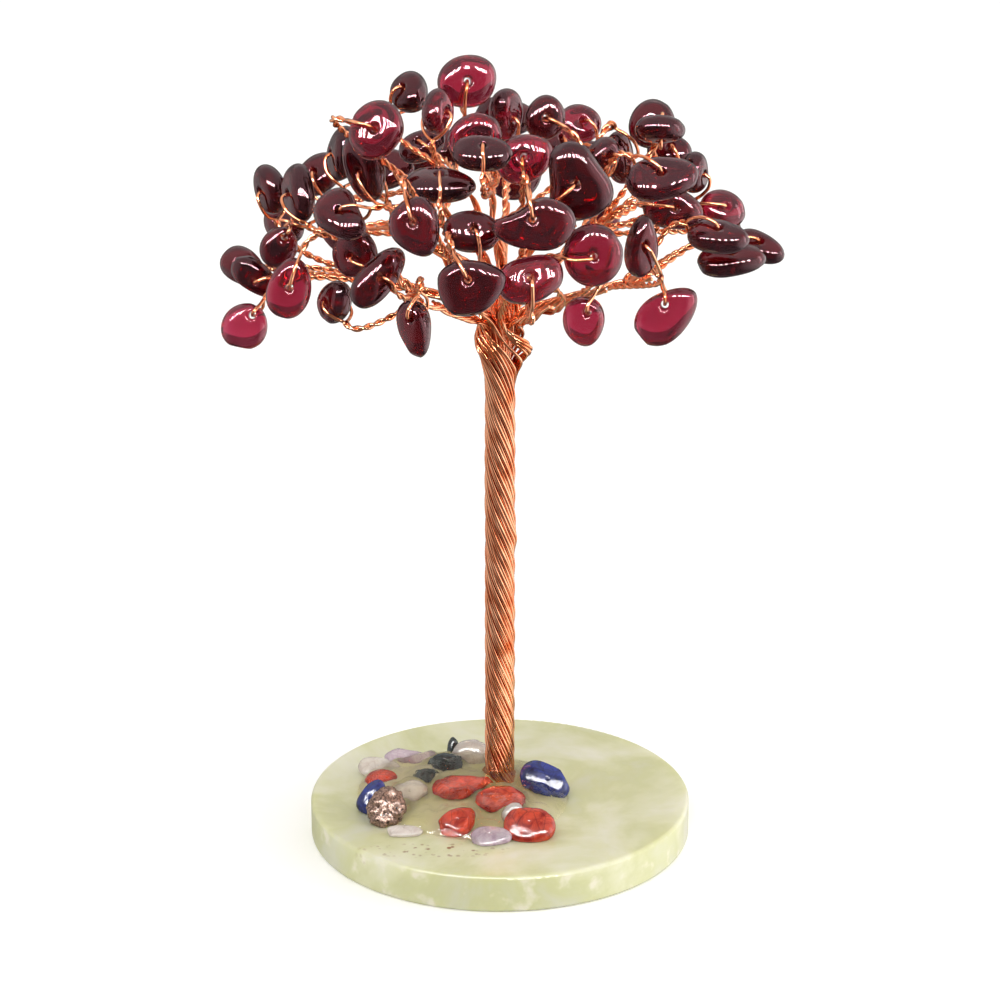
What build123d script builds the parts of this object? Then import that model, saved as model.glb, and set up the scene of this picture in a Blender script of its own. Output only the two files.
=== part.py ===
from build123d import *
import math
import os

# Gemstone tree ornament: drilled stone chips on twisted copper wire, standing on a round stone base.
# Millimetres. +Z is up, the viewer stands at -Y, the origin is the middle of the base's underside.

# Wire
wire_diameter = 0.4
wire_gap = 0.03  # air between neighbouring wires of a twist
seat_gap = 0.12  # air between a bundle of wires and what it springs from

# Base
base_diameter = 50.0
base_thickness = 5.0
base_edge_round = 0.5

# Trunk
trunk_height = 60.0  # from the top of the base
trunk_lay = 26.0  # length in which the twist makes one turn
trunk_lay_count = 24  # wires twisted round the straight ones
trunk_heart_counts = (18, 12, 6, 1)  # straight wires, ring by ring from outside
trunk_behind = 2.0  # the trunk stands this far behind the middle of the base

# Canopy
canopy_reach = 35.0  # from the trunk's axis to the outermost chips
canopy_rise = 38.0  # from the trunk's top to the topmost chip
limb_diameter = 1.04
crown_ring_radius = 2.0  # circle on which the outer limbs stand on the trunk
crown_core_radius = 0.92  # the same for the inner limbs
stem_diameter = 0.76
bead_diameter = 1.0  # tight turn of wire where a loop closes

# Garnet chips
chip_length = 7.0
chip_thickness = 3.0
chip_bore = 1.0
loop_gap = 0.15  # air between a chip's face and the wire that runs over it
neck_run = 0.9  # from a chip's edge to where its two wires meet in the twist
loop_bend = 0.55  # bend of the wire where it enters a bore
edge_bend = 0.6  # bend of the wire where it leaves a chip's edge
swing = 18.0  # degrees that a loosely held chip turns to either side

# Resin pool and the stones cast into it
resin_height = 2.4
resin_length = 28.0
resin_breadth = 27.0
resin_edge_round = 1.4
resin_left = 5.0  # the pool's middle lies this far left of the base's middle
resin_ahead = 1.0
stone_length = 6.0
stone_thickness = 2.6
cast_gap = 0.05  # between the resin and the trunk's wires

bend_run_share = 0.45  # of the shorter run, taken up by a limb's bend
fork_step = 0.9  # along the limb, from one stem to the next
hub_diameter = 1.3  # end of a limb, where its stems fan out
hub_seat_share = 0.25  # of hub_diameter, from a limb's end back to its last stem

overrun = 2.0  # how far a cutting tool passes the faces that it cuts
edge_samples = 72  # points looked at along a chip's outline to find its edge

# Corners of tumbled chips, as shares of half the chip's length and half its breadth.
outline_shares = {
    "round": ((1, 0.15), (0.5, 0.95), (-0.45, 1), (-1, 0.1), (-0.55, -0.95), (0.5, -1)),
    "egg": ((1, 0.3), (0.1, 0.98), (-0.85, 0.85), (-1, -0.45), (-0.2, -1), (0.85, -0.65)),
    "bean": ((1, 0.35), (0.4, 0.86), (-0.6, 1), (-1, 0), (-0.5, -1), (0.75, -0.9)),
    "drop": ((1, 0), (-0.2, 1), (-0.95, 0.55), (-1, -0.45), (-0.3, -1)),
    "wedge": ((1, -0.05), (0.1, 0.95), (-0.85, 0.8), (-1, -0.5), (0.1, -1)),
}

# Outline of the resin pool, as shares of half its length and half its breadth.
resin_outline_shares = (
    (1, 0.1), (0.7, 0.74), (0.1, 0.92), (-0.5, 0.86), (-0.96, 0.4),
    (-0.9, -0.35), (-0.36, -0.82), (0.3, -1), (0.84, -0.62),
)

# Limbs: where each bundle ends, as shares of canopy_reach to the right and ahead and of canopy_rise
# above the trunk's top, the height of its bend as a share of canopy_rise, and its place on the
# crown: the ring, and the direction in degrees counted from the right, seen from above.
limb_shares = {
    "far_right": (0.54, 0.14, 0.32, 0.16, "outer", -18),
    "right_low": (0.26, 0.38, 0.30, 0.12, "outer", -54),
    "front_right": (0.08, 0.46, 0.48, 0.14, "outer", -90),
    "front_left": (-0.17, 0.36, 0.42, 0.14, "outer", -126),
    "left_low": (-0.33, 0.38, 0.32, 0.12, "outer", -162),
    "far_left": (-0.44, 0.00, 0.27, 0.17, "outer", 162),
    "back_left": (-0.33, -0.36, 0.38, 0.14, "outer", 126),
    "back": (0.02, -0.44, 0.42, 0.14, "outer", 90),
    "back_right": (0.34, -0.34, 0.38, 0.14, "outer", 54),
    "right": (0.40, 0.02, 0.50, 0.22, "outer", 18),
    "top_right": (0.28, 0.10, 0.56, 0.30, "core", 0),
    "top": (-0.05, 0.10, 0.66, 0.36, "core", -72),
    "left": (-0.42, 0.08, 0.50, 0.28, "core", -144),
    "upper_left": (-0.33, -0.06, 0.60, 0.34, "core", 144),
    "top_left": (-0.20, 0.02, 0.66, 0.40, "core", 72),
}

# Garnets, by limb. place: the bore's middle, as shares of canopy_reach to the right and ahead and of
# canopy_rise above the trunk's top. size: shares of chip_length for the length and breadth and of
# chip_thickness. face: turn to the right of the viewer, tilt up, in degrees. lean: direction of the long
# axis, neck: side on which the wires leave, both in degrees as the viewer sees them. drop: how far the
# chip's middle lies beyond its bore, away from the neck, as a share of chip_length. hangs: turns freely.
garnets = {
    "top": [
        dict(name="crest", place=(-0.117, 0.00, 0.94), size=(1.00, 0.90, 1.0), kind="round",
             face=(5, 15), lean=10, neck=-95),
        dict(name="peak_right", place=(0.021, -0.10, 0.805), size=(0.96, 0.66, 0.9), kind="egg",
             face=(50, 0), lean=-80, neck=-95),
        dict(name="peak_back", place=(-0.036, -0.30, 0.748), size=(0.80, 0.58, 0.9), kind="egg",
             face=(40, 0), lean=80, neck=-90),
        dict(name="peak_front", place=(-0.087, 0.30, 0.815), size=(0.94, 0.88, 0.9), kind="round",
             face=(0, 10), lean=30, neck=-60),
        dict(name="peak_bar", place=(-0.058, 0.48, 0.812), size=(1.00, 0.66, 0.95), kind="egg",
             face=(0, 55), lean=0, neck=-90),
    ],
    "top_left": [
        dict(name="ridge_far", place=(-0.323, -0.15, 0.872), size=(0.78, 0.70, 1.05), kind="wedge",
             face=(-40, 35), lean=-30, neck=-110),
        dict(name="ridge_near", place=(-0.218, 0.12, 0.868), size=(0.80, 0.66, 0.95), kind="egg",
             face=(55, 10), lean=75, neck=-120),
        dict(name="ridge_back", place=(-0.283, -0.30, 0.655), size=(0.90, 0.58, 0.9), kind="egg",
             face=(-30, 40), lean=35, neck=-20),
    ],
    "upper_left": [
        dict(name="brow", place=(-0.428, 0.30, 0.845), size=(1.03, 0.90, 1.0), kind="round",
             face=(-10, 25), lean=60, neck=165),
        dict(name="brow_back", place=(-0.573, -0.25, 0.64), size=(1.03, 0.80, 1.0), kind="egg",
             face=(-70, 10), lean=80, neck=-60),
        dict(name="brow_low", place=(-0.482, 0.00, 0.652), size=(1.25, 0.74, 1.05), kind="egg",
             face=(-30, -5), lean=-75, neck=-60),
    ],
    "left": [
        dict(name="shoulder_back", place=(-0.667, -0.42, 0.527), size=(0.92, 0.74, 0.95), kind="round",
             face=(-30, 30), lean=40, neck=-60),
        dict(name="shoulder", place=(-0.714, 0.10, 0.588), size=(1.05, 0.76, 0.95), kind="egg",
             face=(-60, 10), lean=-50, neck=-40),
        dict(name="shoulder_front", place=(-0.55, 0.38, 0.582), size=(1.06, 0.78, 1.0), kind="wedge",
             face=(-15, 40), lean=-40, neck=20),
    ],
    "far_left": [
        dict(name="tip_high", place=(-0.831, -0.12, 0.55), size=(0.88, 0.64, 0.95), kind="egg",
             face=(-50, 0), lean=120, neck=-70),
        dict(name="tip_ring", place=(-0.771, 0.08, 0.435), size=(0.80, 0.68, 0.95), kind="round",
             face=(10, 20), lean=50, neck=60, drop=0.2, hangs=True),
        dict(name="tip_back", place=(-0.935, -0.12, 0.285), size=(0.88, 0.64, 0.9), kind="egg",
             face=(-20, 30), lean=-20, neck=0),
        dict(name="tip_slim", place=(-0.875, 0.06, 0.295), size=(0.94, 0.55, 0.8), kind="egg",
             face=(-10, -10), lean=-35, neck=20),
        dict(name="tip_face", place=(-0.74, 0.28, 0.325), size=(1.14, 0.80, 0.95), kind="egg",
             face=(0, 5), lean=80, neck=70, drop=0.04, hangs=True),
        dict(name="tip_low", place=(-0.883, 0.15, 0.188), size=(0.88, 0.84, 0.9), kind="round",
             face=(0, 20), lean=30, neck=55, drop=0.25, hangs=True),
    ],
    "left_low": [
        dict(name="flank_low", place=(-0.585, 0.24, 0.262), size=(0.80, 0.64, 0.95), kind="egg",
             face=(-50, 10), lean=60, neck=-40),
        dict(name="flank_high", place=(-0.509, 0.30, 0.438), size=(0.92, 0.86, 0.95), kind="round",
             face=(-25, 0), lean=60, neck=-20, hangs=True),
        dict(name="flank_slant", place=(-0.421, 0.52, 0.419), size=(1.20, 0.62, 0.95), kind="egg",
             face=(20, 15), lean=45, neck=-45),
        dict(name="flank_drop", place=(-0.286, 0.66, 0.328), size=(1.05, 0.64, 0.95), kind="egg",
             face=(-30, 0), lean=-75, neck=80, drop=0.24, hangs=True),
    ],
    "front_left": [
        dict(name="brow_heart", place=(-0.290, 0.66, 0.636), size=(1.05, 0.90, 0.95), kind="wedge",
             face=(-10, 15), lean=-60, neck=110, drop=0.12, hangs=True),
        dict(name="brow_bar", place=(-0.207, 0.38, 0.684), size=(1.20, 0.78, 1.0), kind="egg",
             face=(0, 75), lean=0, neck=-90),
        dict(name="fore_dark", place=(-0.095, 0.58, 0.583), size=(0.97, 0.72, 0.95), kind="wedge",
             face=(10, 30), lean=0, neck=-80),
        dict(name="fore_face", place=(-0.105, 0.84, 0.498), size=(1.22, 1.00, 1.0), kind="egg",
             face=(-5, 15), lean=20, neck=120, drop=0.14, hangs=True),
    ],
    "front_right": [
        dict(name="crown_face", place=(0.086, 0.35, 0.768), size=(1.00, 0.80, 1.0), kind="egg",
             face=(-10, 20), lean=30, neck=-80),
        dict(name="fore_bean", place=(0.11, 0.72, 0.662), size=(1.48, 0.95, 1.1), kind="bean",
             face=(0, 10), lean=0, neck=100, drop=0.1, hangs=True),
        dict(name="fore_tilt", place=(0.103, 0.75, 0.472), size=(1.14, 0.78, 1.0), kind="bean",
             face=(5, 25), lean=20, neck=-90),
    ],
    "top_right": [
        dict(name="knob", place=(0.158, 0.10, 0.84), size=(0.78, 0.72, 0.9), kind="round",
             face=(10, 15), lean=60, neck=-30),
        dict(name="knob_back", place=(0.289, -0.25, 0.742), size=(0.80, 0.68, 0.9), kind="round",
             face=(20, 30), lean=-10, neck=-60),
        dict(name="nub", place=(0.362, 0.10, 0.718), size=(0.66, 0.54, 0.95), kind="egg",
             face=(30, 10), lean=60, neck=-100),
        dict(name="nub_back", place=(0.429, -0.10, 0.66), size=(1.00, 0.60, 0.9), kind="egg",
             face=(60, 0), lean=-65, neck=110),
        dict(name="great_wedge", place=(0.259, 0.50, 0.728), size=(1.34, 1.10, 1.15), kind="wedge",
             face=(0, 5), lean=110, neck=-140),
    ],
    "right": [
        dict(name="lookout_back", place=(0.55, -0.25, 0.742), size=(0.88, 0.80, 0.9), kind="round",
             face=(-10, 25), lean=60, neck=-80),
        dict(name="lookout", place=(0.571, 0.00, 0.782), size=(0.88, 0.64, 0.95), kind="egg",
             face=(0, -60), lean=0, neck=-90),
        dict(name="ledge", place=(0.564, 0.30, 0.688), size=(1.25, 0.80, 0.95), kind="egg",
             face=(0, 45), lean=15, neck=140),
        dict(name="ledge_back", place=(0.70, -0.10, 0.612), size=(0.72, 0.58, 0.9), kind="egg",
             face=(60, 0), lean=90, neck=-90),
        dict(name="ledge_low", place=(0.618, 0.02, 0.517), size=(1.08, 0.74, 1.0), kind="egg",
             face=(10, 20), lean=-10, neck=170),
        dict(name="ledge_deep", place=(0.62, -0.35, 0.625), size=(0.80, 0.64, 0.9), kind="egg",
             face=(0, 40), lean=0, neck=-60),
    ],
    "far_right": [
        dict(name="wing_back", place=(0.804, -0.10, 0.484), size=(0.84, 0.72, 0.9), kind="round",
             face=(20, 30), lean=-30, neck=165),
        dict(name="wing_high", place=(0.77, 0.22, 0.474), size=(1.06, 0.66, 0.95), kind="egg",
             face=(0, 60), lean=-5, neck=150),
        dict(name="wing_low", place=(0.825, 0.12, 0.368), size=(1.20, 0.66, 0.95), kind="egg",
             face=(0, 60), lean=10, neck=110),
        dict(name="wing_tip", place=(0.944, -0.15, 0.342), size=(0.94, 0.56, 0.85), kind="egg",
             face=(0, 50), lean=-25, neck=170),
        dict(name="spear", place=(0.482, 0.45, 0.515), size=(1.14, 0.64, 0.9), kind="drop",
             face=(30, 0), lean=85, neck=-60, drop=-0.1, hangs=True),
        dict(name="pendant", place=(0.579, 0.35, 0.282), size=(1.30, 0.88, 1.0), kind="drop",
             face=(-5, 15), lean=40, neck=100, drop=0.2, hangs=True),
    ],
    "right_low": [
        dict(name="disc", place=(0.316, 0.65, 0.525), size=(1.06, 1.00, 0.95), kind="round",
             face=(5, 5), lean=90, neck=180),
        dict(name="heart", place=(0.305, 0.62, 0.337), size=(0.90, 0.76, 0.95), kind="wedge",
             face=(-10, 5), lean=-75, neck=70, drop=0.22, hangs=True),
    ],
    "back_left": [
        dict(name="rear_a", place=(-0.42, -0.62, 0.50), size=(1.02, 0.80, 1.0), kind="egg",
             face=(-20, 40), lean=20, neck=-40),
        dict(name="rear_b", place=(-0.30, -0.76, 0.46), size=(1.00, 0.84, 0.95), kind="round",
             face=(10, -30), lean=60, neck=-70),
        dict(name="rear_c", place=(-0.80, -0.42, 0.36), size=(0.94, 0.72, 0.95), kind="egg",
             face=(-40, 20), lean=-20, neck=0),
        dict(name="rear_d", place=(-0.16, -0.52, 0.60), size=(0.92, 0.74, 0.95), kind="wedge",
             face=(0, 50), lean=10, neck=-90),
        dict(name="rear_e", place=(-0.62, -0.72, 0.26), size=(1.06, 0.70, 0.9), kind="egg",
             face=(-20, 0), lean=-60, neck=60, hangs=True),
    ],
    "back_right": [
        dict(name="rear_f", place=(0.34, -0.72, 0.50), size=(0.96, 0.80, 1.0), kind="round",
             face=(10, 40), lean=-20, neck=-120),
        dict(name="rear_g", place=(0.60, -0.58, 0.46), size=(1.08, 0.76, 0.95), kind="egg",
             face=(30, 20), lean=30, neck=-150),
        dict(name="rear_h", place=(0.82, -0.45, 0.32), size=(0.90, 0.72, 0.9), kind="egg",
             face=(40, 10), lean=0, neck=170),
        dict(name="rear_i", place=(0.40, -0.90, 0.24), size=(1.00, 0.68, 0.9), kind="drop",
             face=(15, 0), lean=-80, neck=95, hangs=True),
    ],
    "back": [
        dict(name="rear_j", place=(0.02, -0.70, 0.66), size=(1.10, 0.80, 1.0), kind="bean",
             face=(0, 60), lean=0, neck=-90),
        dict(name="rear_k", place=(0.06, -0.92, 0.40), size=(1.00, 0.86, 0.95), kind="round",
             face=(0, 10), lean=20, neck=90),
        dict(name="rear_l", place=(0.22, -0.50, 0.62), size=(0.86, 0.70, 0.9), kind="egg",
             face=(20, 45), lean=20, neck=-100),
    ],
}

# Stones cast into the resin. place: shares of half the base's diameter to the right and ahead, and of
# resin_height above the base's top. size: shares of stone_length twice and of stone_thickness.
stones = {
    "red_jasper_chips": [
        dict(place=(-0.21, 0.07, 0.85), size=(1.15, 0.80, 0.9), face=(0, 60), lean=12, kind="egg"),
        dict(place=(0.00, 0.25, 0.85), size=(1.00, 0.80, 0.9), face=(0, 50), lean=0, kind="wedge"),
        dict(place=(-0.24, 0.50, 0.60), size=(0.95, 0.62, 0.8), kind="wedge",
             face=(0, 55), lean=50),
        dict(place=(0.17, 0.53, 0.62), size=(1.10, 0.80, 0.9), face=(0, 50), lean=8, kind="bean"),
        dict(place=(-0.64, -0.06, 0.50), size=(0.60, 0.44, 0.6), face=(0, 70), lean=0, kind="egg"),
    ],
    "lapis_chips": [
        dict(place=(0.25, 0.00, 1.00), size=(1.10, 0.86, 1.1), kind="wedge",
             face=(10, 40), lean=-15),
        dict(place=(-0.67, 0.20, 0.80), size=(0.80, 0.60, 0.9), face=(0, 40), lean=80, kind="egg"),
    ],
    "pyrite_chip": [
        dict(place=(-0.57, 0.34, 0.75), size=(0.92, 0.80, 1.1), kind="round",
             face=(10, 45), lean=60),
    ],
    "quartz_chips": [
        dict(place=(-0.105, -0.34, 0.85), size=(0.86, 0.70, 1.0), kind="wedge",
             face=(0, 30), lean=30),
        dict(place=(-0.66, -0.28, 0.50), size=(0.90, 0.56, 0.7), kind="wedge",
             face=(0, 60), lean=-12),
        dict(place=(-0.42, 0.20, 0.50), size=(0.74, 0.60, 0.7), kind="round",
             face=(0, 60), lean=40),
        dict(place=(-0.46, 0.52, 0.35), size=(0.90, 0.50, 0.5), face=(0, 80), lean=0, kind="egg"),
        dict(place=(0.02, 0.44, 1.00), size=(0.46, 0.38, 0.7), face=(0, 30), lean=70, kind="egg"),
    ],
    "amethyst_chips": [
        dict(place=(-0.42, -0.34, 0.42), size=(1.10, 0.50, 0.7), kind="egg",
             face=(0, 70), lean=-10),
        dict(place=(-0.04, 0.58, 0.40), size=(0.80, 0.50, 0.6), face=(0, 70), lean=10, kind="egg"),
    ],
    "tourmaline_shards": [
        dict(place=(-0.31, -0.16, 0.75), size=(0.76, 0.50, 0.7), kind="wedge",
             face=(20, 30), lean=30),
        dict(place=(-0.262, -0.345, 1.15), size=(0.50, 0.28, 0.6), kind="drop",
             face=(30, 10), lean=85),
        dict(place=(-0.42, 0.00, 0.50), size=(0.52, 0.36, 0.5), kind="drop",
             face=(20, 40), lean=-45),
    ],
}

# Worked out from the sizes above
wire_radius = wire_diameter / 2
base_radius = base_diameter / 2
trunk_foot = base_thickness + seat_gap
trunk_top = base_thickness + trunk_height
trunk_step = wire_diameter + wire_gap
trunk_radius = trunk_step * len(trunk_heart_counts) + wire_radius
rim_share = 0.4  # rounding of a chip's rims, as a share of its thickness
rim_corner_share = 0.85  # and at most this share of the rounding of its corners
corner_share = 0.26  # rounding of an outline's corners, as a share of the chip's breadth


def canopy_point(right, ahead, rise):
    return Vector(
        canopy_reach * right,
        trunk_behind - canopy_reach * ahead,
        trunk_top + canopy_rise * rise,
    )


# Plane of a chip: x runs along the chip, z out of the face that the viewer sees.
def chip_plane(origin, face, lean):
    turned, tilted = (math.radians(angle) for angle in face)
    across = Vector(math.cos(turned), math.sin(turned), 0)
    outward = Vector(
        math.sin(turned) * math.cos(tilted),
        -math.cos(turned) * math.cos(tilted),
        math.sin(tilted),
    )
    rising = outward.cross(across)
    angle = math.radians(lean)
    along = across * math.cos(angle) + rising * math.sin(angle)
    return Plane(origin=origin, x_dir=along, z_dir=outward)


def chip_outline(kind, length, breadth):
    corners = [(length / 2 * x, breadth / 2 * y) for x, y in outline_shares[kind]]
    return FilletPolyline(*corners, radius=breadth * corner_share, close=True)


# A tumbled chip lying in the XY plane about the origin, not yet drilled.
def tumbled_chip(kind, length, breadth, thickness):
    slab = extrude(make_face(chip_outline(kind, length, breadth)), thickness / 2, both=True)
    rim = min(thickness * rim_share, breadth * corner_share * rim_corner_share)
    return fillet(slab.edges(), rim)


def garnet_sizes(garnet):
    length_share, breadth_share, thickness_share = garnet["size"]
    return chip_length * length_share, chip_length * breadth_share, chip_thickness * thickness_share


# From the bore to the chip's middle, in the chip's plane.
def garnet_offset(garnet):
    away = math.radians(garnet["neck"] - garnet["lean"] + 180)
    drop = chip_length * garnet.get("drop", 0)
    return Pos(drop * math.cos(away), drop * math.sin(away), 0)


def garnet_chip(garnet):
    length, breadth, thickness = garnet_sizes(garnet)
    bore = Cylinder(chip_bore / 2, thickness + 2 * overrun)
    chip = garnet_offset(garnet) * tumbled_chip(garnet["kind"], length, breadth, thickness) - bore
    plane = chip_plane(canopy_point(*garnet["place"]), garnet["face"], garnet["lean"])
    return chip.moved(plane.location)


# How far the chip's edge lies from its bore towards the neck, with room for the chip to turn.
def edge_reach(garnet):
    length, breadth, thickness = garnet_sizes(garnet)
    outline = garnet_offset(garnet) * chip_outline(garnet["kind"], length, breadth)
    room = math.atan((bead_diameter + 2 * loop_gap) / breadth)
    if garnet.get("hangs"):
        room += math.radians(swing)
    bearing = math.radians(garnet["neck"] - garnet["lean"])
    reach = 0
    for step in range(edge_samples):
        point = outline @ (step / edge_samples)
        away = math.atan2(point.Y, point.X) - bearing
        away = abs((away + math.pi) % (2 * math.pi) - math.pi)
        if away <= room + 2 * math.pi / edge_samples:
            reach = max(reach, point.length)
    return reach


# Where the two wires of a chip meet.
def neck_of(garnet):
    bore_point = canopy_point(*garnet["place"])
    plane = chip_plane(bore_point, garnet["face"], garnet["neck"])
    return bore_point + plane.x_dir * (edge_reach(garnet) + neck_run)


# The loop through a chip's bore and its closing bead, with the bore on the Z axis and the neck on +X.
def wire_loop(thickness, edge):
    lift = thickness / 2 + loop_gap + wire_radius
    neck = edge + neck_run
    leg = wire_radius + wire_gap / 2
    path = Plane.XZ * FilletPolyline(
        (neck, leg),
        (edge, lift),
        (0, lift),
        (0, -lift),
        (edge, -lift),
        (neck, -leg),
        radius=[edge_bend, loop_bend, loop_bend, edge_bend],
    )
    loop = sweep(Plane(origin=path @ 0, z_dir=path % 0) * Circle(wire_radius), path=path)
    return loop + Pos(neck, 0, 0) * Sphere(bead_diameter / 2)


# The wire round one chip, with the stem that carries it to its fork on the limb.
def chip_wire(garnet, fork):
    length, breadth, thickness = garnet_sizes(garnet)
    plane = chip_plane(canopy_point(*garnet["place"]), garnet["face"], garnet["neck"])
    loop = wire_loop(thickness, edge_reach(garnet)).moved(plane.location)
    neck_point = neck_of(garnet)
    run = fork - neck_point
    stem_line = Plane(origin=neck_point, z_dir=run)
    stem = Solid.make_cylinder(stem_diameter / 2, run.length, stem_line)
    room = Solid.make_cylinder(stem_diameter / 2 + seat_gap, run.length, stem_line)
    return loop + stem, room


def largest_solid(shape):
    return max(shape.solids(), key=lambda solid: solid.volume)


# The stems that run on most nearly in line with the limb fork off last.
def stem_order(limb, end, direction):
    return sorted(garnets[limb], key=lambda garnet: direction.get_angle(neck_of(garnet) - end))


# One limb: its bundle of wires and, for each garnet, a stem with its loop.
def limb_wires(limb):
    right, ahead, rise, bend_share, ring, bearing = limb_shares[limb]
    radius = crown_ring_radius if ring == "outer" else crown_core_radius
    angle = math.radians(bearing)
    start = Vector(
        radius * math.cos(angle),
        trunk_behind + radius * math.sin(angle),
        trunk_top + seat_gap,
    )
    bend = Vector(start.X, start.Y, trunk_top + canopy_rise * bend_share)
    end = canopy_point(right, ahead, rise)
    first, second = bend - start, end - bend
    turn = math.radians(first.get_angle(second))
    bend_radius = bend_run_share * min(first.length, second.length) / math.tan(turn / 2)
    route = FilletPolyline(start, bend, end, radius=bend_radius)
    foot = Plane(origin=start, z_dir=route % 0)
    bundle = sweep(foot * Circle(limb_diameter / 2), path=route)
    tip = Plane(origin=end, z_dir=second)
    solids = [bundle + tip * Sphere(hub_diameter / 2)]
    taken = [
        tip * Sphere(hub_diameter / 2 + seat_gap),
        sweep(foot * Circle(limb_diameter / 2 + seat_gap), path=route),
    ]
    straightest_first = stem_order(limb, end, second)
    for place, garnet in enumerate(straightest_first):
        fork = end - second.normalized() * (fork_step * place + hub_diameter * hub_seat_share)
        wire, room = chip_wire(garnet, fork)
        for other in taken:
            wire = wire - other
        solids.append(largest_solid(wire))
        taken.append(room)
    return solids


def save(shapes, node):
    export_step(Compound(children=shapes), "parts/" + node + ".step")


def save_base():
    disc = Pos(0, 0, base_thickness / 2) * Cylinder(base_radius, base_thickness)
    save([fillet(disc.edges(), base_edge_round)], "base_disc")


# A stone standing at its place, with the given clearance all round, cut flat where it meets the base.
def cast_stone(stone, clearance):
    right, ahead, rise = stone["place"]
    length_share, breadth_share, thickness_share = stone["size"]
    chip = tumbled_chip(
        stone["kind"],
        stone_length * length_share + 2 * clearance,
        stone_length * breadth_share + 2 * clearance,
        stone_thickness * thickness_share + 2 * clearance,
    )
    middle = Vector(base_radius * right, -base_radius * ahead, base_thickness + resin_height * rise)
    chip = chip.moved(chip_plane(middle, stone["face"], stone["lean"]).location)
    floor = base_thickness + cast_gap - clearance
    ground = Pos(middle.X, middle.Y, floor - stone_length) * Box(
        2 * stone_length, 2 * stone_length, 2 * stone_length
    )
    return largest_solid(chip - ground)


def save_resin_and_stones():
    corners = [
        (resin_length / 2 * x - resin_left, resin_breadth / 2 * y - resin_ahead)
        for x, y in resin_outline_shares
    ]
    pool = extrude(make_face(Spline(*corners, periodic=True)), resin_height)
    pool = fillet(pool.faces().sort_by(Axis.Z)[-1].edges(), resin_edge_round)
    pool = Pos(0, 0, base_thickness) * pool
    socket = Cylinder(trunk_radius + cast_gap, 2 * (resin_height + overrun))
    pool = pool - Pos(0, trunk_behind, base_thickness) * socket
    for node, chips in stones.items():
        save([cast_stone(stone, 0) for stone in chips], node)
        for stone in chips:
            pool = pool - cast_stone(stone, cast_gap)
    save([largest_solid(pool)], "resin_pool")


# One layer of wires twisted round straight ones. Seen from the front it falls from left to right.
def save_trunk():
    height = trunk_top - trunk_foot
    foot = Pos(0, trunk_behind, trunk_foot)
    path = Helix(pitch=trunk_lay, height=height, radius=trunk_radius - wire_radius, lefthand=True)
    strand = sweep(Plane(origin=path @ 0, z_dir=path % 0) * Circle(wire_radius), path=path)
    laid = [foot * Rot(0, 0, 360 / trunk_lay_count * turn) * strand for turn in range(trunk_lay_count)]
    save(laid, "trunk_twisted_wires")
    straight = []
    for ring, count in enumerate(trunk_heart_counts, start=1):
        away = trunk_radius - wire_radius - trunk_step * ring
        wire = Pos(away, 0, height / 2) * Cylinder(wire_radius, height)
        straight += [foot * Rot(0, 0, 360 / count * turn) * wire for turn in range(count)]
    save(straight, "trunk_straight_wires")


def save_limbs():
    for limb, chips in garnets.items():
        save(limb_wires(limb), limb + "_limb_wires")
        fixed = [garnet_chip(chip) for chip in chips if not chip.get("hangs")]
        if fixed:
            save(fixed, limb + "_limb_garnets")
        for chip in chips:
            if chip.get("hangs"):
                save([garnet_chip(chip)], "garnet_" + chip["name"])


os.makedirs("parts", exist_ok=True)
save_base()
save_resin_and_stones()
save_trunk()
save_limbs()
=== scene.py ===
import math
import random

import bpy
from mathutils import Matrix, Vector, noise


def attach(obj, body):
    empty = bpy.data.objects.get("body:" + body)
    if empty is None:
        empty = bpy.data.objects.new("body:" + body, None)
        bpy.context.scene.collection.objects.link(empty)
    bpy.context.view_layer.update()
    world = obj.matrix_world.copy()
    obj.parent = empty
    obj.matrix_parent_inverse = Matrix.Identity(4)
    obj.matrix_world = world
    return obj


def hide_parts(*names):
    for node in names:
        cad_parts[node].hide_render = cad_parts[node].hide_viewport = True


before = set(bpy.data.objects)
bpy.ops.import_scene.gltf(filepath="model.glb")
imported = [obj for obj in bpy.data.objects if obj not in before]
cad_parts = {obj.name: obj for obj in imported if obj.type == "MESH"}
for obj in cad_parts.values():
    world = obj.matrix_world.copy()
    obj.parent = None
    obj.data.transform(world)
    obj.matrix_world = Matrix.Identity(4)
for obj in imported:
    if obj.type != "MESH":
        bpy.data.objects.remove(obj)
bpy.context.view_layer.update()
print("stage: frame loaded")

mm = 0.001  # Blender works in metres, every size below is in millimetres

# Wires, trunk and crown, as they are in the solid model. wireLooks is the radius that is swept here, a
# little more than wireRadius, so that neighbouring wires close up as they do in a tight twist
treeSizes = {
    "wireRadius": 0.2,
    "wireLooks": 0.225,
    "baseRadius": 25.0,
    "baseThickness": 5.0,
    "trunkTop": 65.0,
    "trunkBehind": 2.0,
    "trunkLay": 26.0,
    "trunkWires": 24,
    "trunkRing": 1.72,
    "crownRing": 2.0,
    "crownCore": 0.92,
    "canopyReach": 35.0,
    "canopyRise": 38.0,
    "seatGap": 0.12,
    "forkStep": 0.9,
    "hubDiameter": 1.3,
    "bendRunShare": 0.45,
}

# Garnet chips and the loops that hold them
chipSizes = {
    "length": 7.0,
    "thickness": 3.0,
    "boreRadius": 0.5,
    "loopGap": 0.15,
    "neckRun": 0.9,
    "beadDiameter": 1.0,
    "swing": 18.0,
}

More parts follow.
